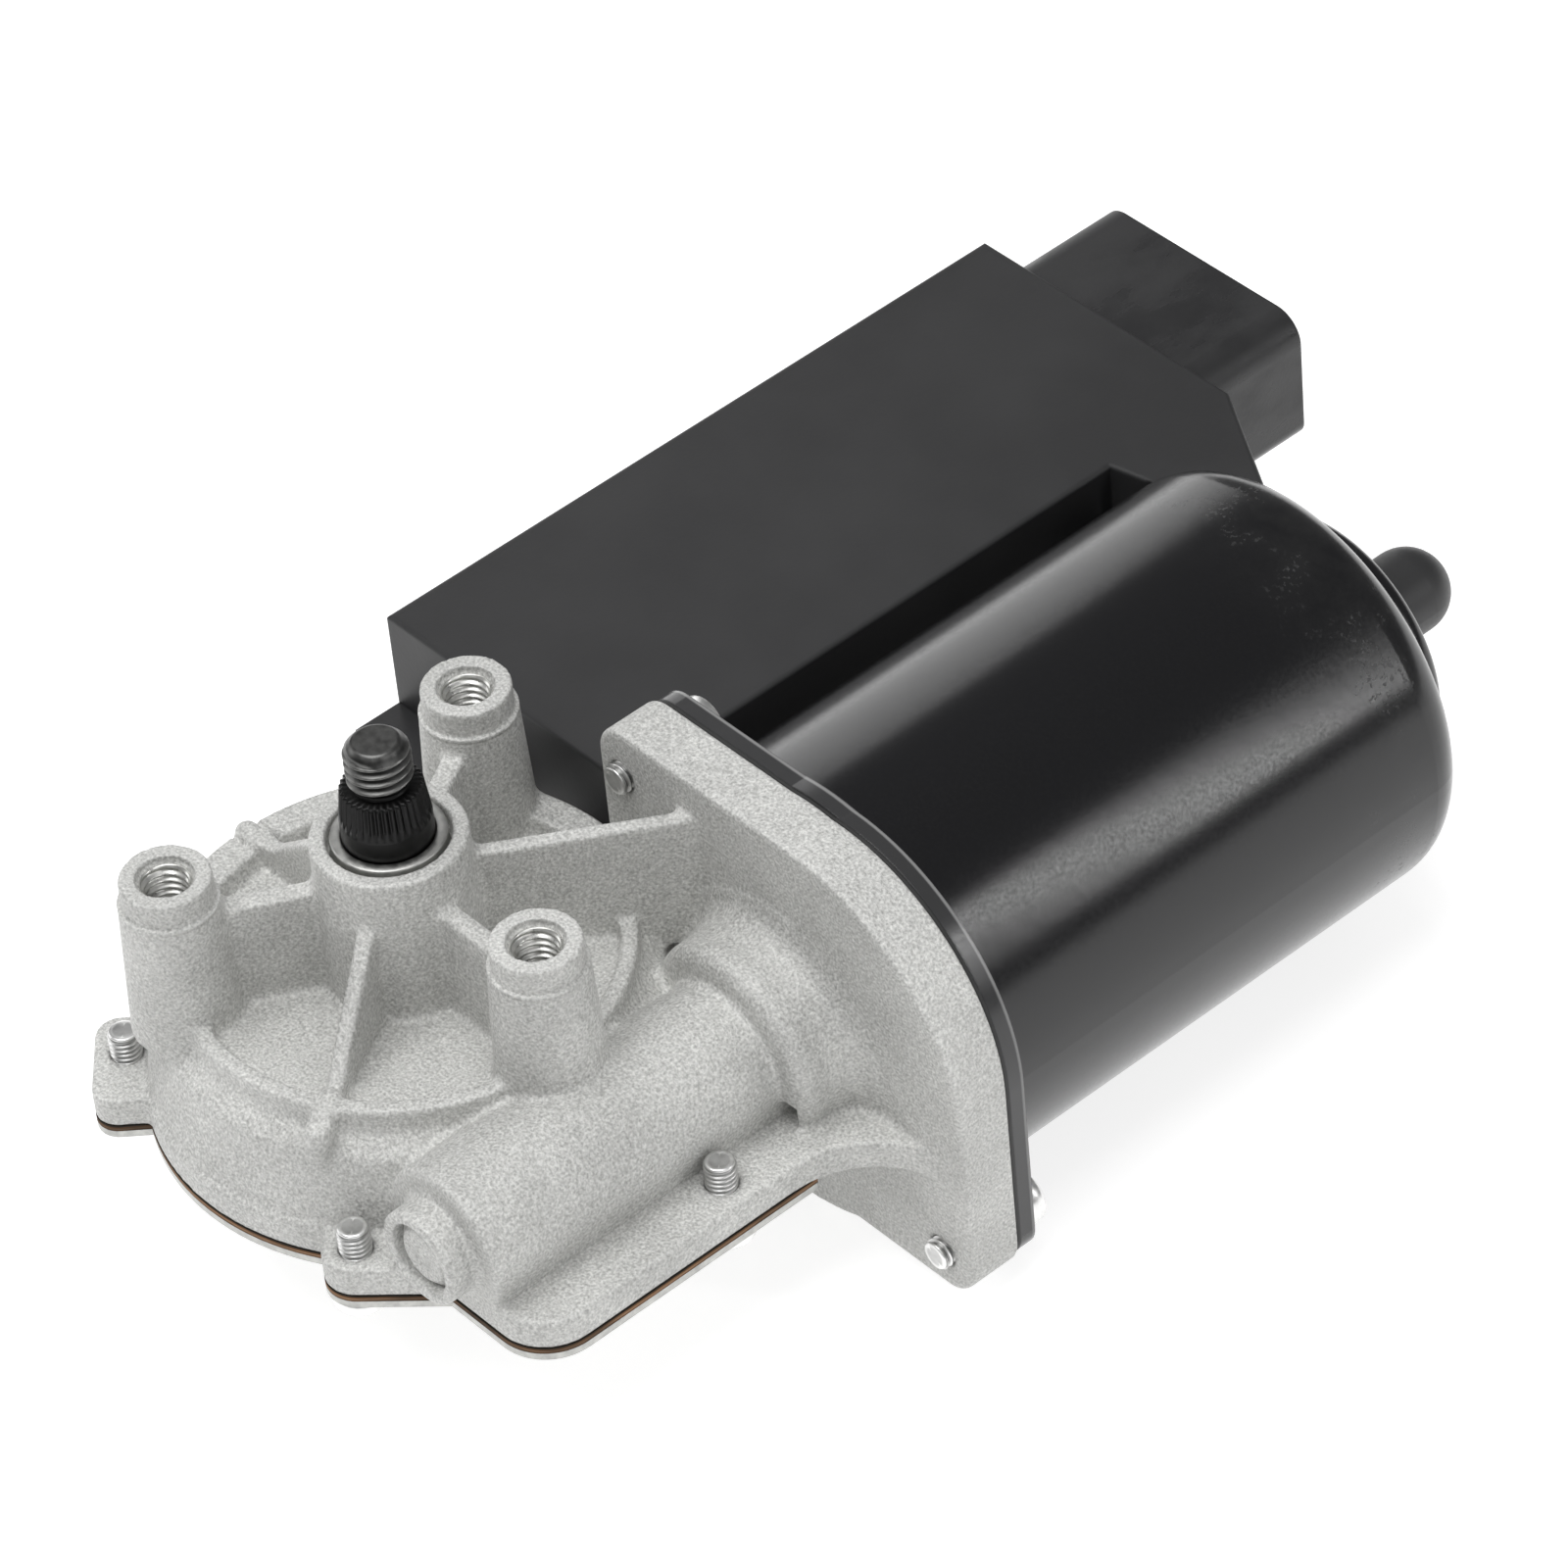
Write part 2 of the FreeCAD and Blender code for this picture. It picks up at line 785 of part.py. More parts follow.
def rear_land():
    """Behind the hub the wall rises to the ring's height with a broad flat top."""
    body = new_body("rear_land")
    sketch = outline(body, "rear_land_section", "XZ_Plane", [
        (S.land_foot, CHAMBER_ROOF), (WALL_RADIUS, S.lip_top),
        (S.land_outside, S.ring_height), (S.land_inside, S.ring_height)])
    revolve(body, sketch, boss_angles()[-1] - S.web_angle)
    return turn(body, S.web_angle)


def flange_form(name, front, depth, inset=ZERO):
    """The motor flange: large corners on one diagonal, small ones on the other."""
    plate = upright(name + "_plate", AXIS_X - S.flange_left + inset,
                    AXIS_X + S.flange_right - inset, AXIS_Z - S.flange_below + inset,
                    AXIS_Z + S.flange_above - inset, front, depth,
                    [(S.flange_round, (UPPER_RIGHT, LOWER_LEFT)),
                     (S.flange_corner, (UPPER_LEFT, LOWER_RIGHT))])
    disc = cylinder_y(name + "_disc", S.flange_disc_radius - inset, front, size(front) + depth,
                      (AXIS_X, AXIS_Z))
    return fuse(name + "_form", [plate, disc])


def flange_bell():
    """The round-edged bell in front of the flange, flaring out into its face."""
    body = new_body("bell", ON_AXIS)
    sketch = outline(body, "bell_profile", "XY_Plane", [
        (ZERO, S.bell_front), (S.bell_radius, S.bell_front),
        (S.bell_radius, S.flange_front), (ZERO, S.flange_front)])

    def front_edge(edge):
        return all(abs(p.y - S.bell_front.value) < NEAR for p in ends(edge))

    soften(body, revolve(body, sketch), S.bell_edge, front_edge)
    start = S.flange_front - S.bell_flare
    reach = S.bell_radius + S.bell_flare
    blank = cylinder_y("bell_flare_blank", reach, start, S.flange_front, (AXIS_X, AXIS_Z))
    hollow = DOC.addObject("Part::Torus", "bell_hollow")
    bind(hollow, "Radius1", reach)
    bind(hollow, "Radius2", S.bell_flare - S.part_gap)
    place(hollow, (AXIS_X, start, AXIS_Z), ALONG_Y)
    return [body, cut("bell_flare_ring", blank, [hollow])]


def worm_tunnel():
    """The round tunnel over the worm and its nose."""
    axis = (AXIS_X, AXIS_Z)
    return [cylinder_y("tunnel", S.tunnel_radius, S.tunnel_front, S.flange_front, axis),
            cylinder_y("nose", S.nose_radius, NOSE_FACE, S.tunnel_front, axis)]


def rim_shelf():
    """The rim sweeps out to the flange in one hollow curve."""
    flare = S.shelf_flare
    blank = block("shelf_blank", (AXIS_X, S.flange_front - flare, LIP_BOTTOM),
                  (RIM_RIGHT + flare, S.flange_front, S.lip_top))
    hollow = cylinder("shelf_hollow", flare, LIP_BOTTOM, S.lip_top,
                      (RIM_RIGHT + flare, S.flange_front - flare))
    return cut("shelf", blank, [hollow])


def box_lugs():
    """Two arms of the rim that carry the electronics box."""
    pieces = []
    for i, (x, y) in enumerate(box_lug_places()):
        pieces.append(cylinder("lug_%d" % i, S.lug_radius, LIP_BOTTOM, S.lip_top, (x, y)))
        pieces.append(block("lug_arm_%d" % i, (x - S.lug_radius, LIP_RADIUS / 2, LIP_BOTTOM),
                            (x + S.lug_radius, y, S.lip_top)))
    return pieces


def housing_cavities():
    """Gear chamber, hub bore, worm bore, bearing seat and every screw hole."""
    shoulder = CHAMBER_RADIUS - S.chamber_shoulder_inset
    tools = [
        turned("chamber", [
            (ZERO, LIP_BOTTOM), (CHAMBER_RADIUS + S.chamber_draft, LIP_BOTTOM),
            (CHAMBER_RADIUS, S.chamber_shoulder), (shoulder, S.chamber_shoulder),
            (S.chamber_roof_radius, CHAMBER_ROOF), (S.roof_hub_radius, CHAMBER_ROOF),
            (S.roof_hub_radius, ROOF_HUB_END), (ZERO, ROOF_HUB_END)]),
        cylinder("hub_bore", S.bush_radius, ROOF_HUB_END, ZERO),
        cylinder("hub_mouth", S.hub_mouth_radius, -S.hub_mouth_depth, ZERO),
        turned_y("worm_bore", [
            (ZERO, NOSE_FACE), (S.nose_bush_radius, NOSE_FACE),
            (S.nose_bush_radius, S.nose_bush_rear), (S.tunnel_bore, S.nose_bush_rear),
            (S.tunnel_bore, S.bearing_front), (S.bearing_radius, S.bearing_front),
            (S.bearing_radius, FLANGE_REAR), (ZERO, FLANGE_REAR)])]
    for i, angle in enumerate(boss_angles()):
        at = on_circle(S.boss_circle, angle)
        tools.append(cylinder("boss_hole_%d" % i, S.boss_hole_radius, -S.boss_hole_depth, ZERO, at))
    for i, at in enumerate(cover_screw_places()):
        tools.append(cylinder("rim_hole_%d" % i, S.screw_radius, LIP_BOTTOM, S.lip_top, at))
    for i, at in enumerate(box_lug_places()):
        tools.append(cylinder("lug_hole_%d" % i, S.screw_radius + S.screw_clearance,
                              LIP_BOTTOM, S.lip_top, at))
    for i, at in enumerate(flange_screw_places()):
        tools.append(cylinder_y("flange_hole_%d" % i, S.screw_radius,
                                S.flange_front, FLANGE_REAR, at))
    return tools


def gear_housing():
    edge = S.deck_height - S.deck_dish
    shell = turned("shell", [
        (ZERO, LIP_BOTTOM), (WALL_RADIUS, LIP_BOTTOM), (WALL_RADIUS, S.lip_top),
        (WALL_RADIUS - S.crease_inset, S.crease_height),
        (S.deck_radius + S.deck_roll, edge - S.deck_roll_drop), (S.deck_radius, edge),
        (ZERO, S.deck_height)])
    hub = cone("hub", S.hub_radius + S.hub_draft, S.hub_radius, CHAMBER_ROOF, ZERO)
    pieces = [shell, hub, rim_plate("housing", LIP_BOTTOM, S.lip_top, S.flange_front),
              rim_shelf(), flange_form("flange", S.flange_front, S.flange_thickness)]
    pieces += [deck_ring(), rear_land()]
    pieces += mounting_bosses() + worm_tunnel() + flange_bell() + box_lugs()
    start = S.hub_radius / 2
    for i, angle in enumerate(boss_angles()):
        pieces.append(deck_rib("link_%d" % i, start, S.boss_circle - start, S.link_width,
                               CHAMBER_ROOF, S.link_height, angle))
    pieces.append(deck_rib("web", start, FLANGE_REAR / S.web_angle.sin() - S.flange_thickness - start,
                           S.web_width, S.crease_height, S.web_height, S.web_angle))
    front_toe = S.ring_height - S.front_toe_drop
    left_toe = S.ring_height + S.left_toe_rise
    for side, angle, ridge, toe in (("left", 180, left_toe, left_toe),
                                    ("front", 300, S.ring_height, front_toe)):
        pieces.append(gusset("gusset_" + side, angle, ridge))
        pieces += gusset_toe("toe_" + side, angle, toe)
    half = S.bell_radius + S.bell_flare
    under = block("under_rim", (AXIS_X - half, S.tunnel_front, AXIS_Z - S.flange_above),
                  (AXIS_X + half, S.flange_front, LIP_BOTTOM))
    trimmed = cut("casting", fuse("casting_blank", pieces), [under])
    return cut("gear_housing", trimmed, housing_cavities())


# Bottom closure

def rim_openings(tag, low, high):
    """Screw holes, and the clearance in front of the motor flange."""
    tools = [cylinder("%s_hole_%d" % (tag, i), S.screw_radius + S.screw_clearance, low, high, at)
             for i, at in enumerate(cover_screw_places())]
    tools.append(block(tag + "_flange_side",
                       (AXIS_X - S.flange_left - S.part_gap, S.flange_front - S.part_gap, low),
                       (RIM_RIGHT, LIP_RADIUS + S.part_gap, high)))
    return tools


def cover_gasket():
    plate = rim_plate("gasket", GASKET_BOTTOM, LIP_BOTTOM, S.cover_tongue_end)
    tools = rim_openings("gasket", GASKET_BOTTOM, LIP_BOTTOM)
    tools.append(cylinder("gasket_window", CHAMBER_RADIUS + S.chamber_draft,
                          GASKET_BOTTOM, LIP_BOTTOM))
    return cut("cover_gasket", plate, tools)


def bottom_cover():
    """Pressed steel plate with one shallow round dish."""
    plate = rim_plate("cover", COVER_BOTTOM, GASKET_BOTTOM, S.cover_tongue_end)
    edge = S.cover_dish_radius + S.cover_dish_slope
    slant = S.cover_thickness / 2
    tools = rim_openings("cover", COVER_BOTTOM, GASKET_BOTTOM)
    tools.append(cylinder("cover_window", edge, COVER_BOTTOM, GASKET_BOTTOM))
    dish = turned("cover_dish", [
        (ZERO, DISH_FLOOR - S.cover_thickness),
        (S.cover_dish_radius, DISH_FLOOR - S.cover_thickness), (edge, COVER_BOTTOM),
        (edge, GASKET_BOTTOM), (edge - slant, GASKET_BOTTOM),
        (S.cover_dish_radius - slant, DISH_FLOOR), (ZERO, DISH_FLOOR)])
    return fuse("bottom_cover", [cut("cover_plate", plate, tools), dish])


def cover_screws():
    return group("cover_screws", [
        screw_up("cover_screw_%d" % i, at, COVER_BOTTOM, S.lip_top + S.screw_stand)
        for i, at in enumerate(cover_screw_places())])


# Output side

def output_shaft():
    """Shaft with its seal groove, plain band, knurled taper, relief and threaded end."""
    tip = S.thread_radius - S.thread_tip_radius
    groove_foot = -S.seal_depth - S.seal_length
    return turned("output_shaft", [
        (ZERO, S.shaft_foot), (S.shaft_radius, S.shaft_foot), (S.shaft_radius, groove_foot),
        (S.seal_radius, groove_foot), (S.seal_radius, -S.seal_depth),
        (S.shaft_radius, -S.seal_depth), (S.shaft_radius, S.band_height),
        (S.knurl_tip_radius, SHAFT_TAPER_END), (S.relief_radius, SHAFT_TAPER_END),
        (S.relief_radius, THREAD_START), (S.thread_radius, THREAD_START + tip / 2),
        (S.thread_radius, SHAFT_END - tip), (S.thread_tip_radius, SHAFT_END),
        (ZERO, SHAFT_END)])


def shaft_bush(name, top):
    return tube(name, S.shaft_radius + S.running_clearance, S.bush_radius, top - S.bush_length, top)


def drive_gear():
    """Helical worm wheel: rim, thin web and hub, with one slanted gap repeated round it."""
    body = new_body("drive_gear", (0, 0, AXIS_Z))
    top = S.gear_above_axis
    foot = -S.gear_below_axis
    hub_top = WASHER_BOTTOM - AXIS_Z
    rim = GEAR_RADIUS - S.gear_rim
    web_top = foot + S.gear_web
    draft = S.gear_chamfer
    revolve(body, outline(body, "gear_profile", "XZ_Plane", [
        (S.shaft_radius, foot), (GEAR_TIP, foot), (GEAR_TIP, top - S.gear_chamfer),
        (GEAR_TIP - S.gear_chamfer, top), (rim, top), (rim - draft, web_top),
        (S.gear_hub_radius + draft, web_top), (S.gear_hub_radius, hub_top),
        (S.shaft_radius, hub_top)]))
    flank = S.tooth_flank_angle.tan()
    depth = S.gear_module * 1.25
    outside = GEAR_TIP + S.gear_module / 2
    half_root = S.gear_gap_width / 2 - depth * flank
    half_outside = S.gear_gap_width / 2 + (outside - GEAR_RADIUS) * flank
    gap = outline(body, "tooth_gap", "XY_Plane", [
        (GEAR_RADIUS - depth, -half_root), (outside, -half_outside),
        (outside, half_outside), (GEAR_RADIUS - depth, half_root)])
    groove = cut_through(body, gap)
    groove.UseCustomVector = True
    groove.Direction = V(0, LEAD_SLOPE.value, 1)
    bind(groove, "Direction.y", LEAD_SLOPE)
    repeat(body, groove, "Z_Axis", S.gear_teeth.whole())
    return body


def park_disc():
    """Copper ring with a notch, on the underside of the wheel."""
    ring = tube("park_ring", S.park_disc_inner, S.park_disc_outer, PARK_DISC_BOTTOM, GEAR_BOTTOM)
    slope = (S.park_notch_angle / 2).tan()
    near = (S.park_disc_inner + S.park_disc_outer) / 2
    far = S.park_disc_outer * 1.2
    notch = new_body("park_notch", (0, 0, PARK_DISC_BOTTOM))
    pad(notch, outline(notch, "park_notch_outline", "XY_Plane", [
        (near, -near * slope), (far, -far * slope), (far, far * slope), (near, near * slope)]),
        S.park_disc_thickness)
    return cut("park_disc", ring, [notch])


def park_carrier():
    """Insulating pad on the inside of the cover that holds the contact fingers."""
    half = S.park_carrier_width / 2
    return block("park_carrier", (-S.park_disc_outer, -half, DISH_FLOOR),
                 (-S.park_disc_inner, half, CARRIER_TOP))


def contact_fingers():
    """Three spring fingers that rise from the carrier to the turning disc."""
    pieces = []
    rise = PARK_DISC_BOTTOM - S.running_clearance - CARRIER_TOP
    thick = S.finger_thickness
    foot = -S.park_disc_outer + thick
    bend = foot + S.finger_width
    tip = -S.park_disc_inner - S.finger_width
    for i in range(3):
        body = new_body("finger_%d" % i, (ZERO, S.finger_pitch * (i - 1), CARRIER_TOP))
        sketch = outline(body, "finger_side_%d" % i, "XZ_Plane", [
            (foot, ZERO), (bend, ZERO), (tip, rise - thick), (tip, rise),
            (tip - thick, rise), (bend - thick, thick), (foot, thick)])
        pad(body, sketch, S.finger_width, middle=True)
        pieces.append(body)
    return group("contact_fingers", pieces)


# Motor can and magnets

def can_form(name, shrink):
    """The deep-drawn can as a solid, smaller by the wall for its hollow."""
    body = new_body(name, ON_AXIS)
    radius = S.can_radius - shrink
    cup = S.cup_radius - shrink
    dome = S.dome_radius - shrink
    end = S.can_end - shrink
    cup_end = S.can_end + S.cup_depth - shrink
    dome_end = DOME_END - shrink
    sketch = outline(body, name + "_profile", "XY_Plane", [
        (ZERO, PLATE_FRONT), (radius, PLATE_FRONT), (radius, end), (cup, end), (cup, cup_end),
        (dome, cup_end), (dome, dome_end), (ZERO, dome_end)])
    feature = revolve(body, sketch)
    rounds = [(radius, end, S.can_shoulder_radius - shrink),
              (cup, cup_end, S.cup_edge_radius - shrink / 2), (dome, dome_end, dome * 0.98)]
    for ring_radius, station, amount in rounds:

        def on_ring(edge):
            curve = edge.Curve
            return isinstance(curve, Part.Circle) and \
                abs(curve.Radius - ring_radius.value) < NEAR and \
                abs(curve.Center.y - station.value) < NEAR

        feature = soften(body, feature, amount, on_ring)
    return body


def motor_can():
    drawn = fuse("can_drawn", [
        can_form("can_outside", ZERO),
        flange_form("can_plate", PLATE_FRONT, S.can_plate, S.can_plate_inset)])
    tools = [can_form("can_inside", S.can_wall)]
    for i, at in enumerate(flange_screw_places()):
        tools.append(cylinder_y("can_hole_%d" % i, S.screw_radius + S.screw_clearance,
                                PLATE_FRONT, PLATE_REAR, at))
    return cut("motor_can", drawn, tools)


def can_gasket():
    form = flange_form("can_gasket", FLANGE_REAR, S.can_gasket_thickness, S.can_plate_inset)
    tools = [cylinder_y("can_gasket_window", CAN_INNER, FLANGE_REAR, PLATE_FRONT,
                        (AXIS_X, AXIS_Z))]
    for i, at in enumerate(flange_screw_places()):
        tools.append(cylinder_y("can_gasket_hole_%d" % i, S.screw_radius + S.screw_clearance,
                                FLANGE_REAR, PLATE_FRONT, at))
    return cut("can_gasket", form, tools)


def flange_screws():
    pieces = []
    for i, at in enumerate(flange_screw_places()):
        shank = cylinder_y("flange_shank_%d" % i, S.screw_radius,
                           S.flange_front - S.flange_screw_stand, PLATE_REAR, at)
        head = cylinder_y("flange_head_%d" % i, S.flange_head_radius, PLATE_REAR,
                          PLATE_REAR + S.flange_head_height, at)
        pieces.append(fuse("flange_screw_%d" % i, [shank, head]))
    return group("flange_screws", pieces)


def magnet(name, from_angle):
    """One curved ferrite magnet lying against the can wall."""
    body = new_body(name, (AXIS_X, S.magnet_start, AXIS_Z))
    outer = CAN_INNER - S.running_clearance
    inner = CAN_INNER - S.magnet_thickness
    sketch = outline(body, name + "_section", "XY_Plane", [
        (inner, ZERO), (outer, ZERO), (outer, S.magnet_length), (inner, S.magnet_length)])
    feature = revolve(body, sketch, S.magnet_angle)
    feature.Midplane = True
    return turn(body, from_angle, V(0, 1, 0))


def magnet_clips():
    """Two leaf springs that wedge the magnets apart."""
    pieces = []
    half = S.clip_width / 2
    outer = CAN_INNER - S.clip_thickness
    inner = outer - S.clip_thickness
    for i, (near, far) in enumerate(((-outer, -inner), (inner, outer))):
        pieces.append(block("clip_%d" % i, (AXIS_X + near, S.magnet_start, AXIS_Z - half),
                            (AXIS_X + far, S.magnet_start + S.magnet_length, AXIS_Z + half)))
    return group("magnet_clips", pieces)


# Armature

def armature_shaft():
    """Shaft with its journals and the rolled worm thread."""
    body = new_body("armature_shaft", ON_AXIS)
    worm_half = (S.worm_turns_each_side.whole() + 1) * WORM_LEAD
    journal_end = S.rotor_front + S.journal_length
    ramp = WORM_ROOT - S.rotor_radius
    revolve(body, outline(body, "rotor_profile", "XY_Plane", [
        (ZERO, S.rotor_front), (S.journal_radius, S.rotor_front),
        (S.journal_radius, journal_end), (WORM_ROOT, journal_end), (WORM_ROOT, worm_half),
        (S.rotor_radius, worm_half + ramp), (S.rotor_radius, S.rear_journal_start),
        (S.rear_journal_radius, S.rear_journal_start),
        (S.rear_journal_radius, ROTOR_REAR), (ZERO, ROTOR_REAR)]))
    flank = S.tooth_flank_angle.tan()
    sunk = WORM_ROOT - S.gear_module / 5
    half_root = S.worm_thread_width / 2 + (S.worm_radius - sunk) * flank
    half_tip = S.worm_thread_width / 2 - S.gear_module * flank
    start = -(S.worm_turns_each_side.whole() + 0.5) * WORM_LEAD
    thread = outline(body, "worm_thread", "XY_Plane", [
        (sunk, start - half_root), (WORM_TIP, start - half_tip),
        (WORM_TIP, start + half_tip), (sunk, start + half_root)])
    helix = body.newObject("PartDesign::AdditiveHelix", "worm_helix")
    helix.Profile = thread
    helix.ReferenceAxis = (thread, ["V_Axis"])
    helix.Mode = "pitch-height-angle"
    bind(helix, "Pitch", WORM_LEAD)
    bind(helix, "Height", (S.worm_turns_each_side.whole() * 2 + 1) * WORM_LEAD)
    body.Tip = helix
    return body


def lamination_core():
    body = new_body("lamination_core", (AXIS_X, S.core_start, AXIS_Z))
    length = S.core_length
    revolve(body, outline(body, "core_profile", "XY_Plane", [
        (S.rotor_radius, ZERO), (CORE_RADIUS, ZERO), (CORE_RADIUS, length),
        (S.rotor_radius, length)]))
    half = S.slot_width / 2
    mouth = S.slot_mouth / 2
    lip = CORE_RADIUS - S.slot_lip
    neck = CORE_RADIUS - S.slot_lip / 2
    outside = CORE_RADIUS + S.slot_lip
    slot = outline(body, "core_slot", "XZ_Plane", [
        (S.slot_floor, -half), (lip, -half), (neck, -mouth), (outside, -mouth),
        (outside, mouth), (neck, mouth), (lip, half), (S.slot_floor, half)])
    repeat(body, cut_through(body, slot), "Y_Axis", S.slot_count.whole())
    return body


def windings():
    """Wire heads at both ends of the core, joined by the wire in each slot."""
    gap = S.winding_clearance
    outer = CORE_RADIUS - S.slot_lip
    inner = S.winding_inner_radius
    bend = S.winding_round
    front = S.core_start - gap
    rear = CORE_END + gap
    heads = []
    for tag, near, far, side in (("front", front, front - S.winding_front_length, -1),
                                 ("rear", rear, rear + S.winding_rear_length, 1)):
        heads.append(turned_y("winding_" + tag, [
            (inner, near), (outer, near), (outer, near + bend * side), (outer - bend, far),
            (inner + bend, far), (inner, near + bend * side)]))
    bars = new_body("slot_wires", (AXIS_X, front, AXIS_Z))
    half = S.slot_width / 2 - gap
    wire = pad(bars, outline(bars, "slot_wire", "XZ_Plane", [
        (S.slot_floor + gap, -half), (outer - gap, -half), (outer - gap, half),
        (S.slot_floor + gap, half)]), rear - front, reverse=True)
    DOC.recompute()
    repeat(bars, wire, "Y_Axis", S.slot_count.whole())
    return fuse("wire_heads", heads + [bars])


def commutator():
    body = new_body("commutator", (AXIS_X, S.commutator_start, AXIS_Z))
    length = S.commutator_length
    riser = length - S.commutator_riser_length
    wide = S.commutator_radius + S.commutator_riser
    revolve(body, outline(body, "commutator_profile", "XY_Plane", [
        (S.rotor_radius, ZERO), (S.commutator_radius, ZERO), (S.commutator_radius, riser),
        (wide, riser), (wide, length), (S.rotor_radius, length)]))
    half = S.commutator_groove / 2
    floor = S.commutator_radius - S.commutator_groove_depth
    slot = outline(body, "commutator_slot", "XZ_Plane", [
        (floor, -half), (wide + half, -half), (wide + half, half), (floor, half)])
    repeat(body, cut_through(body, slot), "Y_Axis", S.slot_count.whole())
    return body


# Bearings

def bearing_balls():
    """Balls evenly round the space between the two races."""
    inner = S.rotor_radius + S.bearing_ring
    outer = S.bearing_radius - S.bearing_ring
    middle = (inner + outer) / 2
    radius = (outer - inner) / 2 - S.running_clearance
    pieces = []
    for i in range(int(DRIVING["bearing_ball_count"])):
        x, z = on_circle(middle, size(360 * i) / S.bearing_ball_count)
        pieces.append(sphere("bearing_ball_%d" % i, radius, (
            AXIS_X + x, S.bearing_front + S.bearing_width / 2, AXIS_Z + z)))
    return group("bearing_balls", pieces)


# The round bush rests against the edge where the dome opens out of the cup
DOME_INNER = S.dome_radius - S.can_wall
BUSH_SEAT = (S.rear_bush_radius * S.rear_bush_radius - DOME_INNER * DOME_INNER).root()
REAR_BUSH_Y = S.can_end + S.cup_depth - S.can_wall - BUSH_SEAT - S.running_clearance


def rear_bush():
    """Self-aligning bush: a ball cut flat at both ends and bored through."""
    ball = sphere("rear_bush_ball", S.rear_bush_radius, (AXIS_X, REAR_BUSH_Y, AXIS_Z))
    half = S.rear_bush_length / 2
    barrel = tube_y("rear_bush_barrel", S.rear_journal_radius + S.running_clearance,
                    S.rear_bush_radius * 2, REAR_BUSH_Y - half, REAR_BUSH_Y + half)
    return common("rear_bush", [ball, barrel])


def rear_retainer():
    """Dished spring washer that holds the bush in the cup of the can."""
    thick = S.retainer_thickness
    rim = S.cup_radius - S.can_wall - S.running_clearance
    seat = S.can_end - S.can_wall
    hold = S.rear_bush_radius * DIAGONAL
    front = REAR_BUSH_Y - hold
    return turned_y("rear_retainer", [
        (hold, front - thick), (rim, seat - thick), (rim, seat + thick * 2),
        (rim - thick, seat + thick * 2), (rim - thick, seat + thick), (hold + thick, front)])


def thrust_ball():
    return sphere("thrust_ball", S.thrust_ball_radius,
                  (AXIS_X, ROTOR_REAR + S.end_float / 2 + S.thrust_ball_radius, AXIS_Z))


# Brush gear

def brush_plate():
    """Moulded plate on three posts that stand on the motor flange."""
    outer = CAN_INNER - S.brush_plate_clearance
    plate = tube_y("brush_disc", S.brush_plate_bore, outer, S.brush_plate_front, BRUSH_PLATE_REAR)
    posts = []
    for i, angle in enumerate(POST_ANGLES):
        x, z = on_circle((outer + S.brush_plate_bore) / 2, angle)
        posts.append(cylinder_y("brush_post_%d" % i, S.brush_plate_post, FLANGE_REAR,
                                S.brush_plate_front, (AXIS_X + x, AXIS_Z + z)))
    return fuse("brush_plate", [plate] + posts)


def radial(name, angle, inner, outer, half, front, rear):
    """A block that reaches out from the motor axis at an angle."""
    body = new_body(name, (AXIS_X, front, AXIS_Z))
    sketch = outline(body, name + "_section", "XZ_Plane", [
        (inner, -half), (outer, -half), (outer, half), (inner, half)])
    pad(body, sketch, size(rear) - front, reverse=True)
    return turn(body, angle, V(0, -1, 0))


def brush(name, angle):
    return radial(name, angle, BRUSH_INNER, BRUSH_OUTER, S.brush_height / 2,
                  BRUSH_FRONT, BRUSH_REAR)


def brush_holder(name, angle):
    """Pressed brass box, open towards the commutator."""
    slack = S.running_clearance
    half = S.brush_height / 2 + slack
    case = radial(name + "_case", angle, S.holder_inner, S.holder_outer, half + S.holder_wall,
                  BRUSH_PLATE_REAR, BRUSH_REAR + slack + S.holder_wall)
    channel = radial(name + "_channel", angle, S.holder_inner, S.holder_outer - S.holder_wall,
                     half, BRUSH_FRONT - slack, BRUSH_REAR + slack)
    return cut(name, case, [channel])


def brush_spring(name, angle):
    """Coil spring between the brush and the closed end of its holder."""
    wire = S.spring_wire
    start = BRUSH_OUTER + S.running_clearance
    length = S.holder_outer - S.holder_wall - S.running_clearance - start - wire
    coil = S.brush_width / 2 - S.part_gap
    body = new_body(name, (AXIS_X, BRUSH_FRONT + S.brush_width / 2, AXIS_Z))
    section = outline(body, name + "_wire", "XY_Plane", [
        (start, coil - wire), (start + wire, coil - wire), (start + wire, coil), (start, coil)])
    helix = body.newObject("PartDesign::AdditiveHelix", name + "_coil")
    helix.Profile = section
    helix.ReferenceAxis = (section, ["H_Axis"])
    helix.Mode = "pitch-turns-angle"
    bind(helix, "Pitch", length / S.spring_turns)
    bind(helix, "Turns", S.spring_turns)
    body.Tip = helix
    return turn(body, angle, V(0, -1, 0))


def choke(name, angle):
    """Suppression choke standing on the brush plate."""
    x, z = on_circle(S.choke_place, angle)
    return cylinder_y(name, S.choke_radius, BRUSH_PLATE_REAR, BRUSH_PLATE_REAR + S.choke_length,
                      (AXIS_X + x, AXIS_Z + z))


# Electronics box

def box_outline():
    return [(S.box_left, S.box_front), (S.box_right, S.box_front), (S.box_right, S.step_y),
            (S.step_x, S.step_y + S.step_drop), (S.wing_x, S.wing_y),
            (S.chamfer_x, S.box_rear), (S.box_left, S.box_rear)]


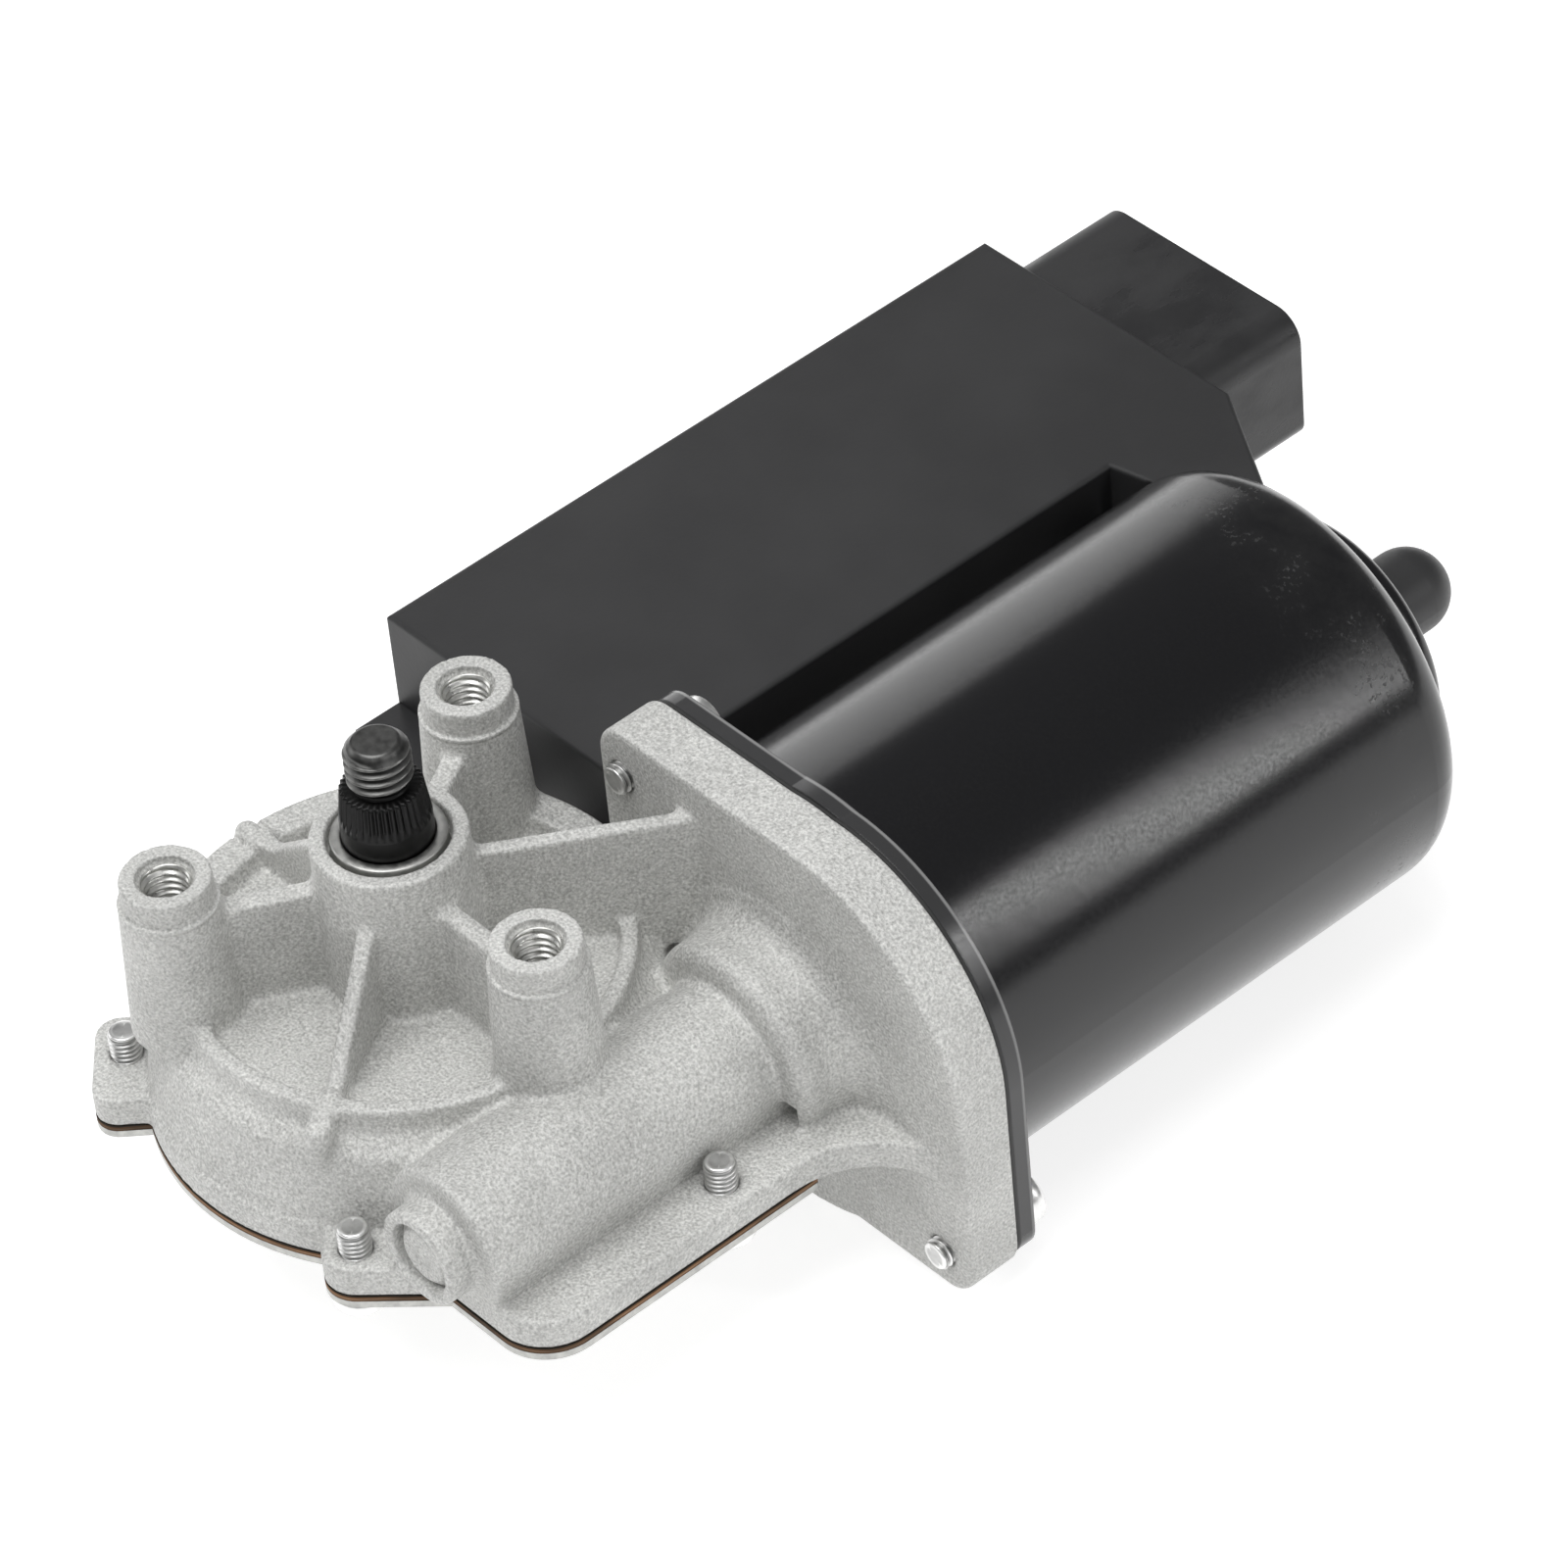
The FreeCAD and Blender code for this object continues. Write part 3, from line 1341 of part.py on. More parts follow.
def box_shell(name, low, high, open_at_top):
    """Half of the box: the outline padded and hollowed to an even wall."""
    body = new_body(name, (0, 0, low))
    depth = size(high) - low
    feature = pad(body, outline(body, name + "_outline", "XY_Plane", box_outline()), depth)
    DOC.recompute()
    mouth = depth.value if open_at_top else 0.0
    faces = ["Face%d" % i for i, face in enumerate(feature.Shape.Faces, start=1)
             if abs(face.CenterOfMass.z - mouth) < NEAR]
    shell = body.newObject("PartDesign::Thickness", name + "_wall")
    shell.Base = (feature, faces)
    bind(shell, "Value", S.box_wall)
    shell.Reversed = True
    shell.Mode = "Skin"
    shell.Join = "Intersection"
    if not open_at_top:
        soften(body, shell, S.box_edge,
               lambda edge: all(abs(p.z - depth.value) < NEAR for p in ends(edge)))
    return body


def blade_places():
    middle = (S.shroud_left + S.shroud_right) / 2
    count = int(DRIVING["blade_count"])
    return [middle + S.blade_pitch * (i - (count - 1) / 2) for i in range(count)]


def blade_slots(tag, front, rear):
    slack = S.running_clearance
    half = S.blade_width / 2 + slack
    return [block("%s_slot_%d" % (tag, i), (x - half, front, BOARD_TOP - slack),
                  (x + half, rear, BOARD_TOP + S.blade_thickness + slack))
            for i, x in enumerate(blade_places())]


def can_room(tag, room):
    """The can's outside, grown by a clearance."""
    return can_form(tag + "_can_room", -size(room))


def saddle(tag, low, high):
    """Wall of the box where its wing bends round the can."""
    body = new_body(tag + "_wing", (0, 0, low))
    pad(body, outline(body, tag + "_wing_outline", "XY_Plane", box_outline()), size(high) - low)
    return common(tag + "_saddle", [body, can_room(tag + "_wall", S.part_gap + S.box_wall)])


def electronics_cover():
    shell = box_shell("cover_shell", S.box_split, S.box_top, False)
    solid = fuse("cover_solid", [shell, saddle("cover", S.box_split, S.box_top)])
    return cut("electronics_cover", solid, [can_room("cover", S.part_gap)] +
               blade_slots("cover", S.box_rear - S.box_wall, S.box_rear))


def electronics_base():
    """Tray of the box, its front tongue and the posts under the circuit board."""
    shell = box_shell("base_shell", BOX_BOTTOM, S.box_split, True)
    tongue = block("base_tongue", (S.box_left, S.box_front - S.tongue_length, BOX_BOTTOM),
                   (S.box_left + S.tongue_width, S.box_front, S.box_split))
    post_places = box_lug_places() + [(x, S.step_y) for x, _ in box_lug_places()]
    posts = [cylinder("board_post_%d" % i, S.screw_radius * 2, BOX_BOTTOM, S.board_height, at)
             for i, at in enumerate(post_places)]
    holes = [cylinder("base_hole_%d" % i, S.screw_radius, BOX_BOTTOM,
                      BOX_BOTTOM + S.box_wall * 2, at) for i, at in enumerate(box_lug_places())]
    solid = fuse("base_solid", [shell, tongue, saddle("base", BOX_BOTTOM, S.box_split)] + posts)
    return cut("electronics_base", solid, [can_room("base", S.part_gap)] + holes)


def box_screws():
    return group("box_screws", [
        screw_up("box_screw_%d" % i, at, LIP_BOTTOM, BOX_BOTTOM + S.box_wall * 2 - S.part_gap)
        for i, at in enumerate(box_lug_places())])


def circuit_board():
    slack = S.box_wall + S.board_clearance
    return block("circuit_board",
                 (S.box_left + slack, S.box_front + slack, S.board_height),
                 (S.box_right - slack, S.box_rear - slack, BOARD_TOP))


def relay(name, front):
    left = S.box_left + S.relay_width
    return upright(name, left, left + S.relay_width, BOARD_TOP, BOARD_TOP + S.relay_height,
                   front, S.relay_length, [(S.box_edge, (UPPER_LEFT, UPPER_RIGHT))])


def terminal_blades():
    half = S.blade_width / 2
    return group("terminal_blades", [
        block("blade_%d" % i, (x - half, S.box_rear - S.blade_tail, BOARD_TOP),
              (x + half, SHROUD_FLOOR + S.blade_reach, BOARD_TOP + S.blade_thickness))
        for i, x in enumerate(blade_places())])


def connector_shroud():
    """Moulded socket with an open end, rounded more at the top than at the foot."""
    outer = upright("shroud_outer", S.shroud_left, S.shroud_right, S.shroud_bottom, S.shroud_top,
                    S.box_rear, S.shroud_length,
                    [(S.shroud_corner, (UPPER_LEFT, UPPER_RIGHT)),
                     (S.shroud_foot_corner, (LOWER_LEFT, LOWER_RIGHT))])
    wall = S.shroud_wall
    socket = upright("shroud_socket", S.shroud_left + wall, S.shroud_right - wall,
                     S.shroud_bottom + wall, S.shroud_top - wall, SHROUD_FLOOR, S.shroud_depth,
                     [(S.shroud_corner - wall, (UPPER_LEFT, UPPER_RIGHT)),
                      (S.shroud_foot_corner - wall / 2, (LOWER_LEFT, LOWER_RIGHT))])
    return cut("connector_shroud", outer,
               [socket] + blade_slots("shroud", S.box_rear, SHROUD_FLOOR))


def build_gearbox():
    node("gear_housing", gear_housing())
    node("cover_gasket", cover_gasket())
    node("bottom_cover", bottom_cover())
    node("cover_screws", cover_screws())
    node("output_shaft", output_shaft())
    node("shaft_seal", tube("shaft_seal", S.seal_radius, S.shaft_radius,
                            -S.seal_depth - S.seal_length, -S.seal_depth))
    node("upper_bush", shaft_bush("upper_bush", S.bush_stand))
    node("lower_bush", shaft_bush("lower_bush", ROOF_HUB_END + S.bush_length))
    node("thrust_washer", tube("thrust_washer", S.shaft_radius, S.gear_hub_radius,
                               WASHER_BOTTOM, WASHER_TOP))
    node("drive_gear", drive_gear())
    node("park_disc", park_disc())
    node("park_carrier", park_carrier())
    node("contact_fingers", contact_fingers())


def build_motor():
    node("motor_can", motor_can())
    node("can_gasket", can_gasket())
    node("flange_screws", flange_screws())
    node("upper_magnet", magnet("upper_magnet", 270))
    node("lower_magnet", magnet("lower_magnet", 90))
    node("magnet_clips", magnet_clips())
    node("armature_shaft", armature_shaft())
    node("lamination_core", lamination_core())
    node("windings", windings())
    node("commutator", commutator())
    node("bearing_outer_ring", tube_y("bearing_outer_ring", S.bearing_radius - S.bearing_ring,
                                      S.bearing_radius, S.bearing_front, BEARING_REAR))
    node("bearing_inner_ring", tube_y("bearing_inner_ring", S.rotor_radius,
                                      S.rotor_radius + S.bearing_ring, S.bearing_front,
                                      BEARING_REAR))
    node("bearing_balls", bearing_balls())
    node("nose_bush", tube_y("nose_bush", S.journal_radius + S.running_clearance,
                             S.nose_bush_radius, S.nose_bush_rear - S.nose_bush_length,
                             S.nose_bush_rear))
    node("thrust_plug", cylinder_y("thrust_plug", S.nose_bush_radius,
                                   NOSE_FACE + S.plug_recess, S.rotor_front - S.end_float,
                                   (AXIS_X, AXIS_Z)))
    node("rear_bush", rear_bush())
    node("rear_retainer", rear_retainer())
    node("thrust_ball", thrust_ball())
    node("brush_plate", brush_plate())
    for tag, angle in BRUSH_ANGLES.items():
        node("brush_" + tag, brush("brush_" + tag, angle))
        node("holder_" + tag, brush_holder("holder_" + tag, angle))
        node("spring_" + tag, brush_spring("spring_" + tag, angle))
    for i, angle in enumerate(POST_ANGLES[:2], start=1):
        node("choke_%d" % i, choke("choke_%d" % i, angle))


def build_electronics():
    node("electronics_cover", electronics_cover())
    node("electronics_base", electronics_base())
    node("box_screws", box_screws())
    node("circuit_board", circuit_board())
    node("relay_1", relay("relay_1", S.box_front + S.relay_length))
    node("relay_2", relay("relay_2", S.box_front + S.relay_length * 2.3))
    node("connector_shroud", connector_shroud())
    node("terminal_blades", terminal_blades())


def check():
    """Stops the run if anything in the document failed or any node is not sound."""
    DOC.recompute()
    for item in DOC.Objects:
        if "Invalid" in item.State or "Error" in item.State:
            raise RuntimeError("%s failed: %s" % (item.Label, item.State))
    for item in NODES:
        shape = item.Shape
        if shape.isNull() or not shape.isValid() or not shape.Solids:
            raise RuntimeError("%s has no sound shape" % item.Label)


def write():
    os.makedirs("parts", exist_ok=True)
    for item in NODES:
        item.Shape.exportStep("parts/%s.step" % item.Label)


build_gearbox()
build_motor()
build_electronics()
check()
write()
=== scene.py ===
import json
import math

import bmesh
import bpy
import numpy as np
import openvdb
from mathutils import Matrix, Vector


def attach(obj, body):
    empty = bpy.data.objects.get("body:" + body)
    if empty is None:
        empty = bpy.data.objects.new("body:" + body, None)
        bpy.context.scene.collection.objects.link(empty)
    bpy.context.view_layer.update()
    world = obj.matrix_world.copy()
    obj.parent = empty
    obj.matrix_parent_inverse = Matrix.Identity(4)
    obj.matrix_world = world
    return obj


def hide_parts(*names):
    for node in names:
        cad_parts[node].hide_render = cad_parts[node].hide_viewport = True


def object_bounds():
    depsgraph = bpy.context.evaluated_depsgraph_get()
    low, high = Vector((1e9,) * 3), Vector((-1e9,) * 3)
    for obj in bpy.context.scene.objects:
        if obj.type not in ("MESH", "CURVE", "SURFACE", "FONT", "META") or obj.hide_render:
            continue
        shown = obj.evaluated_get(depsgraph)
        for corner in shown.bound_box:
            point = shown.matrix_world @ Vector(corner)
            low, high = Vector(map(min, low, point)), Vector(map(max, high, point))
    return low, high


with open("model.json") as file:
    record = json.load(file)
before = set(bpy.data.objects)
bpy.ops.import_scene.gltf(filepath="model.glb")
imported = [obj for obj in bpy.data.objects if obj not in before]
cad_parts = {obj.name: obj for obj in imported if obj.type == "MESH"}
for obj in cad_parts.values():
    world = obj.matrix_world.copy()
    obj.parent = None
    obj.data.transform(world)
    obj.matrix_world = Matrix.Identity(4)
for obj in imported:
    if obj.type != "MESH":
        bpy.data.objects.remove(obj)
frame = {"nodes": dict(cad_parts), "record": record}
nodes = frame["nodes"]
cad_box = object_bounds()
SLOT_OF = {entry["node"]: entry["material_slot"] for entry in frame["record"]["subparts"]}
MM = 0.001
Y, Z = 1, 2
TO_FRONT = Matrix.Rotation(math.pi / 2, 4, "X")    # turns +Z to -Y


def add_object(name, data):
    item = bpy.data.objects.new(name, data)
    bpy.context.scene.collection.objects.link(item)
    return item


def shift(x, y, z):
    """The matrix of a move in millimetres."""
    return Matrix.Translation((x * MM, y * MM, z * MM))


# Camera and light, in metres and watts

CAMERA_PLACE = (0.55867, -0.37679, 0.60546)
CAMERA_RIGHT = (0.66505, 0.74294, -0.07591)
CAMERA_UP = (-0.46195, 0.48911, 0.73985)
CAMERA_BACK = (0.58679, -0.45696, 0.66848)
SENSOR_WIDTH = 36.0
LENS = 180.0
CLIP_START = 0.01
MIDDLE = Vector((0.012, 0.050, -0.025))

# Place, width, height and power of each lamp
LAMPS = {
    "key_softbox": ((-0.05, -0.20, 1.10), 0.90, 0.90, 10.6),
    "left_softbox": ((-0.80, 0.50, 0.26), 0.30, 0.70, 1.05),
    "right_strip": ((0.74, 0.50, 0.38), 0.05, 0.50, 1.1),
    "right_fill": ((0.78, 0.00, 0.62), 0.40, 0.40, 0.9),
    "front_fill": ((-0.70, -0.38, 0.30), 0.40, 0.40, 1.0),
}


def add_camera():
    data = bpy.data.cameras.new("camera")
    data.sensor_fit = "HORIZONTAL"
    data.sensor_width = SENSOR_WIDTH
    data.lens = LENS
    data.clip_start = CLIP_START
    camera = add_object("camera", data)
    columns = Matrix((CAMERA_RIGHT, CAMERA_UP, CAMERA_BACK)).transposed().to_4x4()
    camera.matrix_world = Matrix.Translation(CAMERA_PLACE) @ columns
    bpy.context.scene.camera = camera


def add_lamp(name, place, width, height, power):
    data = bpy.data.lights.new(name, "AREA")
    data.shape = "RECTANGLE"
    data.size = width
    data.size_y = height
    data.energy = power
    item = add_object(name, data)
    item.location = place
    item.rotation_euler = (MIDDLE - Vector(place)).to_track_quat("-Z", "Y").to_euler()


add_camera()
for lamp, settings in LAMPS.items():
    add_lamp(lamp, *settings)


# Node helpers for the materials

NOISE_SPAN = (0.3, 0.7)
CLOUD_SPAN = (0.35, 0.65)
POINTINESS_SPAN = (0.44, 0.54)
BEVEL_SAMPLES = 4


class Paint:
    """A material whose shader is built up from procedural nodes. Lengths are in metres."""

    def __init__(self, name, colour, metallic=0.0, roughness=0.5, specular=0.5):
        self.material = bpy.data.materials.new(name)
        self.material.use_nodes = True
        self.tree = self.material.node_tree
        self.shader = self.tree.nodes["Principled BSDF"]
        self.shader.inputs["Base Color"].default_value = (*colour, 1.0)
        self.shader.inputs["Metallic"].default_value = metallic
        self.shader.inputs["Roughness"].default_value = roughness
        self.shader.inputs["Specular IOR Level"].default_value = specular
        self.place = self.node("ShaderNodeTexCoord").outputs["Object"]

    def node(self, kind, **values):
        item = self.tree.nodes.new(kind)
        for key, value in values.items():
            setattr(item, key, value)
        return item

    def link(self, source, target):
        self.tree.links.new(source, target)

    def wire(self, source, key):
        self.link(source, self.shader.inputs[key])

    def stretch(self, scale):
        item = self.node("ShaderNodeMapping")
        item.inputs["Scale"].default_value = scale
        self.link(self.place, item.inputs["Vector"])
        return item.outputs["Vector"]

    def noise(self, scale, detail=3.0, rough=0.55, vector=None):
        item = self.node("ShaderNodeTexNoise")
        item.inputs["Scale"].default_value = scale
        item.inputs["Detail"].default_value = detail
        item.inputs["Roughness"].default_value = rough
        self.link(vector or self.place, item.inputs["Vector"])
        return item.outputs["Fac"]

    def scaled(self, value, low, high, new_low=0.0, new_high=1.0):
        item = self.node("ShaderNodeMapRange")
        for key, number in zip(("From Min", "From Max", "To Min", "To Max"),
                               (low, high, new_low, new_high)):
            item.inputs[key].default_value = number
        self.link(value, item.inputs["Value"])
        return item.outputs["Result"]

    def maths(self, kind, first, second=0.0):
        item = self.node("ShaderNodeMath", operation=kind)
        for socket, value in zip(item.inputs, (first, second)):
            if isinstance(value, (int, float)):
                socket.default_value = value
            else:
                self.link(value, socket)
        return item.outputs["Value"]

    def times(self, first, second):
        return self.maths("MULTIPLY", first, second)

    def mix(self, amount, first, second):
        item = self.node("ShaderNodeMix", data_type="RGBA")
        self.link(amount, item.inputs[0])
        for socket, value in ((item.inputs[6], first), (item.inputs[7], second)):
            if isinstance(value, tuple):
                socket.default_value = (*value, 1.0)
            else:
                self.link(value, socket)
        return item.outputs[2]

    def tint(self, amount, dark, light):
        self.wire(self.mix(amount, dark, light), "Base Color")

    def rough(self, amount):
        self.wire(amount, "Roughness")

    def axes(self):
        item = self.node("ShaderNodeSeparateXYZ")
        self.link(self.place, item.inputs["Vector"])
        return item.outputs

    def along(self, axis, low, high):
        """Runs from 0 to 1 between two places on an axis of the object."""
        return self.scaled(self.axes()[axis], low, high)

    def bands(self, amount, stops):
        """Colours by amount, from a list of places and colours."""
        item = self.node("ShaderNodeValToRGB")
        ramp = item.color_ramp
        for place, colour in stops[1:-1]:
            ramp.elements.new(place).color = (*colour, 1.0)
        ramp.elements[0].color = (*stops[0][1], 1.0)
        ramp.elements[-1].color = (*stops[-1][1], 1.0)
        self.link(amount, item.inputs["Fac"])
        return item.outputs["Color"]

    def bump(self, height, distance, strength, below=None):
        item = self.node("ShaderNodeBump")
        item.inputs["Strength"].default_value = strength
        item.inputs["Distance"].default_value = distance
        self.link(height, item.inputs["Height"])
        if below is not None:
            self.link(below, item.inputs["Normal"])
        self.wire(item.outputs["Normal"], "Normal")

    def hollow_shade(self, dark):
        """Painted shade: 1 on crests, down to dark in the hollows of a detailed mesh."""
        item = self.node("ShaderNodeNewGeometry")
        return self.scaled(item.outputs["Pointiness"], *POINTINESS_SPAN, dark, 1.0)

    def soft_edge(self, radius):
        item = self.node("ShaderNodeBevel", samples=BEVEL_SAMPLES)
        item.inputs["Radius"].default_value = radius
        return item.outputs["Normal"]


# Materials

METAL_GRAIN = 900.0
FINE_BUMP = 0.00002
COARSE_BUMP = 0.00004
SHARP_EDGE = 0.00015
SOFT_EDGE = 0.0003

# Dark and light colour and roughness of each plain metal and plain moulded material
BRUSHED = {
    "cut_aluminium": ((0.6, 0.6, 0.58), (0.8, 0.8, 0.77), 0.3),
    "zinc_steel": ((0.30, 0.30, 0.29), (0.46, 0.46, 0.44), 0.34),
    "bright_steel": ((0.62, 0.62, 0.62), (0.78, 0.78, 0.77), 0.22),
    "sintered_iron": ((0.40, 0.40, 0.39), (0.52, 0.52, 0.5), 0.4),
    "copper": ((0.5, 0.2, 0.1), (0.7, 0.32, 0.18), 0.35),
    "brass_sheet": ((0.6, 0.45, 0.2), (0.78, 0.6, 0.3), 0.3),
    "core_steel": ((0.2, 0.2, 0.21), (0.35, 0.35, 0.36), 0.45),
    "spring_steel": ((0.4, 0.4, 0.42), (0.6, 0.6, 0.62), 0.3),
}
MOULDED = {
    "black_seal": ((0.012, 0.012, 0.012), (0.022, 0.022, 0.022), 0.6),
    "white_nylon": ((0.66, 0.65, 0.6), (0.76, 0.75, 0.7), 0.45),
    "brown_plastic": ((0.12, 0.06, 0.03), (0.18, 0.1, 0.05), 0.5),
    "board_green": ((0.03, 0.12, 0.06), (0.05, 0.18, 0.09), 0.5),
    "ferrite": ((0.05, 0.05, 0.055), (0.08, 0.08, 0.085), 0.6),
    "carbon": ((0.02, 0.02, 0.02), (0.05, 0.05, 0.05), 0.6),
}


def brushed_metal(name, dark, light, roughness):
    paint = Paint(name, light, metallic=1.0, roughness=roughness)
    grain = paint.noise(METAL_GRAIN, 4.0)
    paint.tint(paint.scaled(grain, *NOISE_SPAN), dark, light)
    paint.rough(paint.scaled(grain, *NOISE_SPAN, roughness - 0.06, roughness + 0.08))
    paint.bump(grain, FINE_BUMP, 0.5, paint.soft_edge(SHARP_EDGE))
    return paint


def moulded(name, dark, light, roughness):
    paint = Paint(name, light, roughness=roughness)
    grain = paint.noise(1400.0, 4.0, 0.6)
    cloud = paint.noise(70.0, 5.0, 0.65)
    paint.tint(paint.scaled(cloud, *CLOUD_SPAN), dark, light)
    paint.rough(paint.scaled(cloud, *CLOUD_SPAN, roughness - 0.05, roughness + 0.06))
    paint.bump(grain, COARSE_BUMP, 0.6, paint.soft_edge(SOFT_EDGE))
    return paint


def screw_steel():
    """Bright plated steel, with painted shade in the roots of the threads."""
    paint = Paint("screw_steel", (0.75, 0.75, 0.74), metallic=1.0, roughness=0.32)
    grain = paint.noise(METAL_GRAIN, 4.0)
    # painted shade: the colour darkens in the thread roots, found by pointiness, over the grain
    grain_and_hollow_shade = paint.times(paint.scaled(grain, *NOISE_SPAN, 0.8, 1.1), paint.hollow_shade(0.15))
    paint.tint(grain_and_hollow_shade, (0.05, 0.05, 0.05), (0.80, 0.80, 0.79))
    paint.rough(paint.scaled(grain, *NOISE_SPAN, 0.28, 0.40))
    paint.bump(grain, FINE_BUMP, 0.5)
    return paint


def shaft_steel():
    """Dark oiled steel, rubbed lighter on the thread crests and the tip."""
    thread_depth, thread_start, tip_start = (0.0034, 0.0039), (0.0078, 0.0084), (0.0136, 0.0140)
    paint = Paint("shaft_steel", (0.03, 0.03, 0.03), metallic=1.0, roughness=0.36)
    across, along, up = paint.axes()
    squares = paint.maths("ADD", paint.times(across, across), paint.times(along, along))
    crest = paint.times(paint.scaled(paint.maths("SQRT", squares), *thread_depth, 0.25, 1.0),
                        paint.scaled(up, *thread_start))
    tip = paint.scaled(up, *tip_start, 0.0, 0.5)
    grain = paint.noise(1100.0, 4.0)
    rubbed = paint.times(paint.maths("MAXIMUM", crest, tip),
                         paint.scaled(grain, *NOISE_SPAN, 0.7, 1.1))
    paint.tint(rubbed, (0.022, 0.022, 0.022), (0.20, 0.20, 0.195))
    paint.rough(paint.scaled(grain, *NOISE_SPAN, 0.28, 0.42))
    paint.bump(grain, FINE_BUMP, 0.4)
    return paint


def cast_aluminium():
    """Blasted casting: fine bright and dark grain over faint clouds."""
    paint = Paint("cast_aluminium", (0.6, 0.6, 0.585), metallic=0.55, roughness=0.5)
    grain = paint.noise(2700.0, 3.0, 0.6)
    cloud = paint.noise(60.0, 3.0, 0.55)
    both = paint.times(paint.scaled(grain, *NOISE_SPAN, 0.78, 1.18),
                       paint.scaled(cloud, *NOISE_SPAN, 0.94, 1.05))
    paint.tint(paint.scaled(both, 0.7, 1.22), (0.31, 0.31, 0.30), (0.88, 0.88, 0.86))
    paint.rough(paint.scaled(grain, *NOISE_SPAN, 0.58, 0.78))
    paint.bump(grain, 0.00020, 0.9)
    return paint


def black_enamel():
    """Glossy black enamel with faint peel, rubbed in specks near the rear shoulder.

    The can's plate is greyer, with a painted highlight as a bright line at its rim, and its dome
    is duller.
    """
    rim_highlight_span, plate_end = (0.0391, 0.0393), (0.0395, 0.0397)
    haze_start, shoulder, dome_start = (0.094, 0.112), (0.096, 0.104), (0.1215, 0.1220)
    paint = Paint("black_enamel", (0.005, 0.005, 0.006), roughness=0.2)
    peel = paint.noise(350.0, 2.0)
    fine = paint.noise(2200.0, 2.0)
    specks = paint.scaled(paint.noise(1500.0), 0.56, 0.66)
    patches = paint.scaled(paint.noise(120.0), 0.54, 0.64)
    rubbed = paint.times(paint.times(specks, patches), paint.along(Y, *shoulder))
    plate = paint.maths("SUBTRACT", 1.0, paint.along(Y, *plate_end))
    # painted highlight: a thin band of pale colour along the rim of the plate
    rim_highlight = paint.times(plate, paint.along(Y, *rim_highlight_span))
    haze = paint.times(paint.along(Y, *haze_start),
                       paint.scaled(paint.noise(60.0, 5.0, 0.7), 0.42, 0.66, 0.0, 0.8))
    dome = paint.along(Y, *dome_start)
    colour = (0.004, 0.004, 0.005)
    # the last colour, 0.22 grey, is the painted highlight at the plate's rim
    for amount, shade in ((rubbed, (0.05, 0.05, 0.052)), (haze, (0.018, 0.018, 0.018)),
                          (plate, (0.034, 0.034, 0.035)), (dome, (0.022, 0.022, 0.023)),
                          (rim_highlight, (0.22, 0.22, 0.22))):
        colour = paint.mix(amount, colour, shade)
    paint.wire(colour, "Base Color")
    worn = paint.maths("MAXIMUM", rubbed, dome)
    paint.rough(paint.maths("ADD", paint.scaled(fine, *NOISE_SPAN, 0.17, 0.24),
                            paint.times(worn, 0.25)))
    paint.bump(peel, FINE_BUMP, 0.5, paint.soft_edge(SOFT_EDGE))
    return paint


def black_plastic():
    """Matt box walls; the connector behind them is glossier and mottled."""
    connector_start, edge = (0.1320, 0.1328), 0.0004
    paint = Paint("black_plastic", (0.02, 0.02, 0.02), roughness=0.5, specular=0.4)
    grain = paint.noise(1400.0, 4.0, 0.6)
    cloud = paint.noise(45.0, 4.0, 0.6)
    stains = paint.scaled(paint.noise(95.0, 5.0, 0.6, paint.stretch((1.0, 0.5, 1.0))), 0.42, 0.60)
    paint.tint(paint.scaled(cloud, *CLOUD_SPAN), (0.018, 0.018, 0.019), (0.025, 0.025, 0.026))
    smooth = paint.times(paint.along(Y, *connector_start),
                         paint.scaled(stains, 0.0, 1.0, 0.05, 0.34))
    paint.rough(paint.maths("SUBTRACT", paint.scaled(cloud, *CLOUD_SPAN, 0.48, 0.54), smooth))
    paint.bump(grain, COARSE_BUMP, 0.5, paint.soft_edge(edge))
    return paint


def gasket_board():
    """Layered board seen on edge: brown plies between thin pale and dark lines; the dark lines at
    its top and bottom are painted shade, the top one the shadow of the housing lip.
    """
    thickness = (-0.0377, -0.0370)
    dark, brown, pale = (0.035, 0.028, 0.022), (0.30, 0.15, 0.07), (0.50, 0.43, 0.34)
    paint = Paint("gasket_board", (0.3, 0.16, 0.08), roughness=0.8, specular=0.2)
    wave = paint.scaled(paint.noise(150.0), *NOISE_SPAN, -0.08, 0.08)
    depth = paint.maths("ADD", paint.along(Z, *thickness), wave)
    # painted shade: dark bands at the bottom (0 to 0.10) and top (0.93 to 1) of the edge, the top
    # one the housing lip's shadow
    plies_and_shade = paint.bands(depth, [(0.0, dark), (0.10, dark), (0.16, brown), (0.40, brown),
                                 (0.48, pale), (0.58, brown), (0.86, brown), (0.93, dark),
                                 (1.0, dark)])
    # darker in random patches along the edge
    dark_patches = paint.scaled(paint.noise(55.0), 0.44, 0.60, 0.0, 0.75)
    paint.wire(paint.mix(dark_patches, plies_and_shade, dark), "Base Color")
    return paint


PAINTS = {make.__name__: make() for make in (cast_aluminium, screw_steel, shaft_steel,
                                             gasket_board, black_enamel, black_plastic)}
PAINTS.update((name, brushed_metal(name, *look)) for name, look in BRUSHED.items())
PAINTS.update((name, moulded(name, *look)) for name, look in MOULDED.items())


def dress(item, slot):
    item.data.materials.clear()
    item.data.materials.append(PAINTS[slot].material)


def new_piece(name, paint, body):
    item = add_object(name, bpy.data.meshes.new(name))
    dress(item, paint)
    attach(item, body)
    return item


for name, item in nodes.items():
    dress(item, SLOT_OF[name])


# The cast housing: fillets in the inside corners, soft outer edges and crisp machined cuts.
# Sizes and places are in millimetres, the motor axis by its x and z.

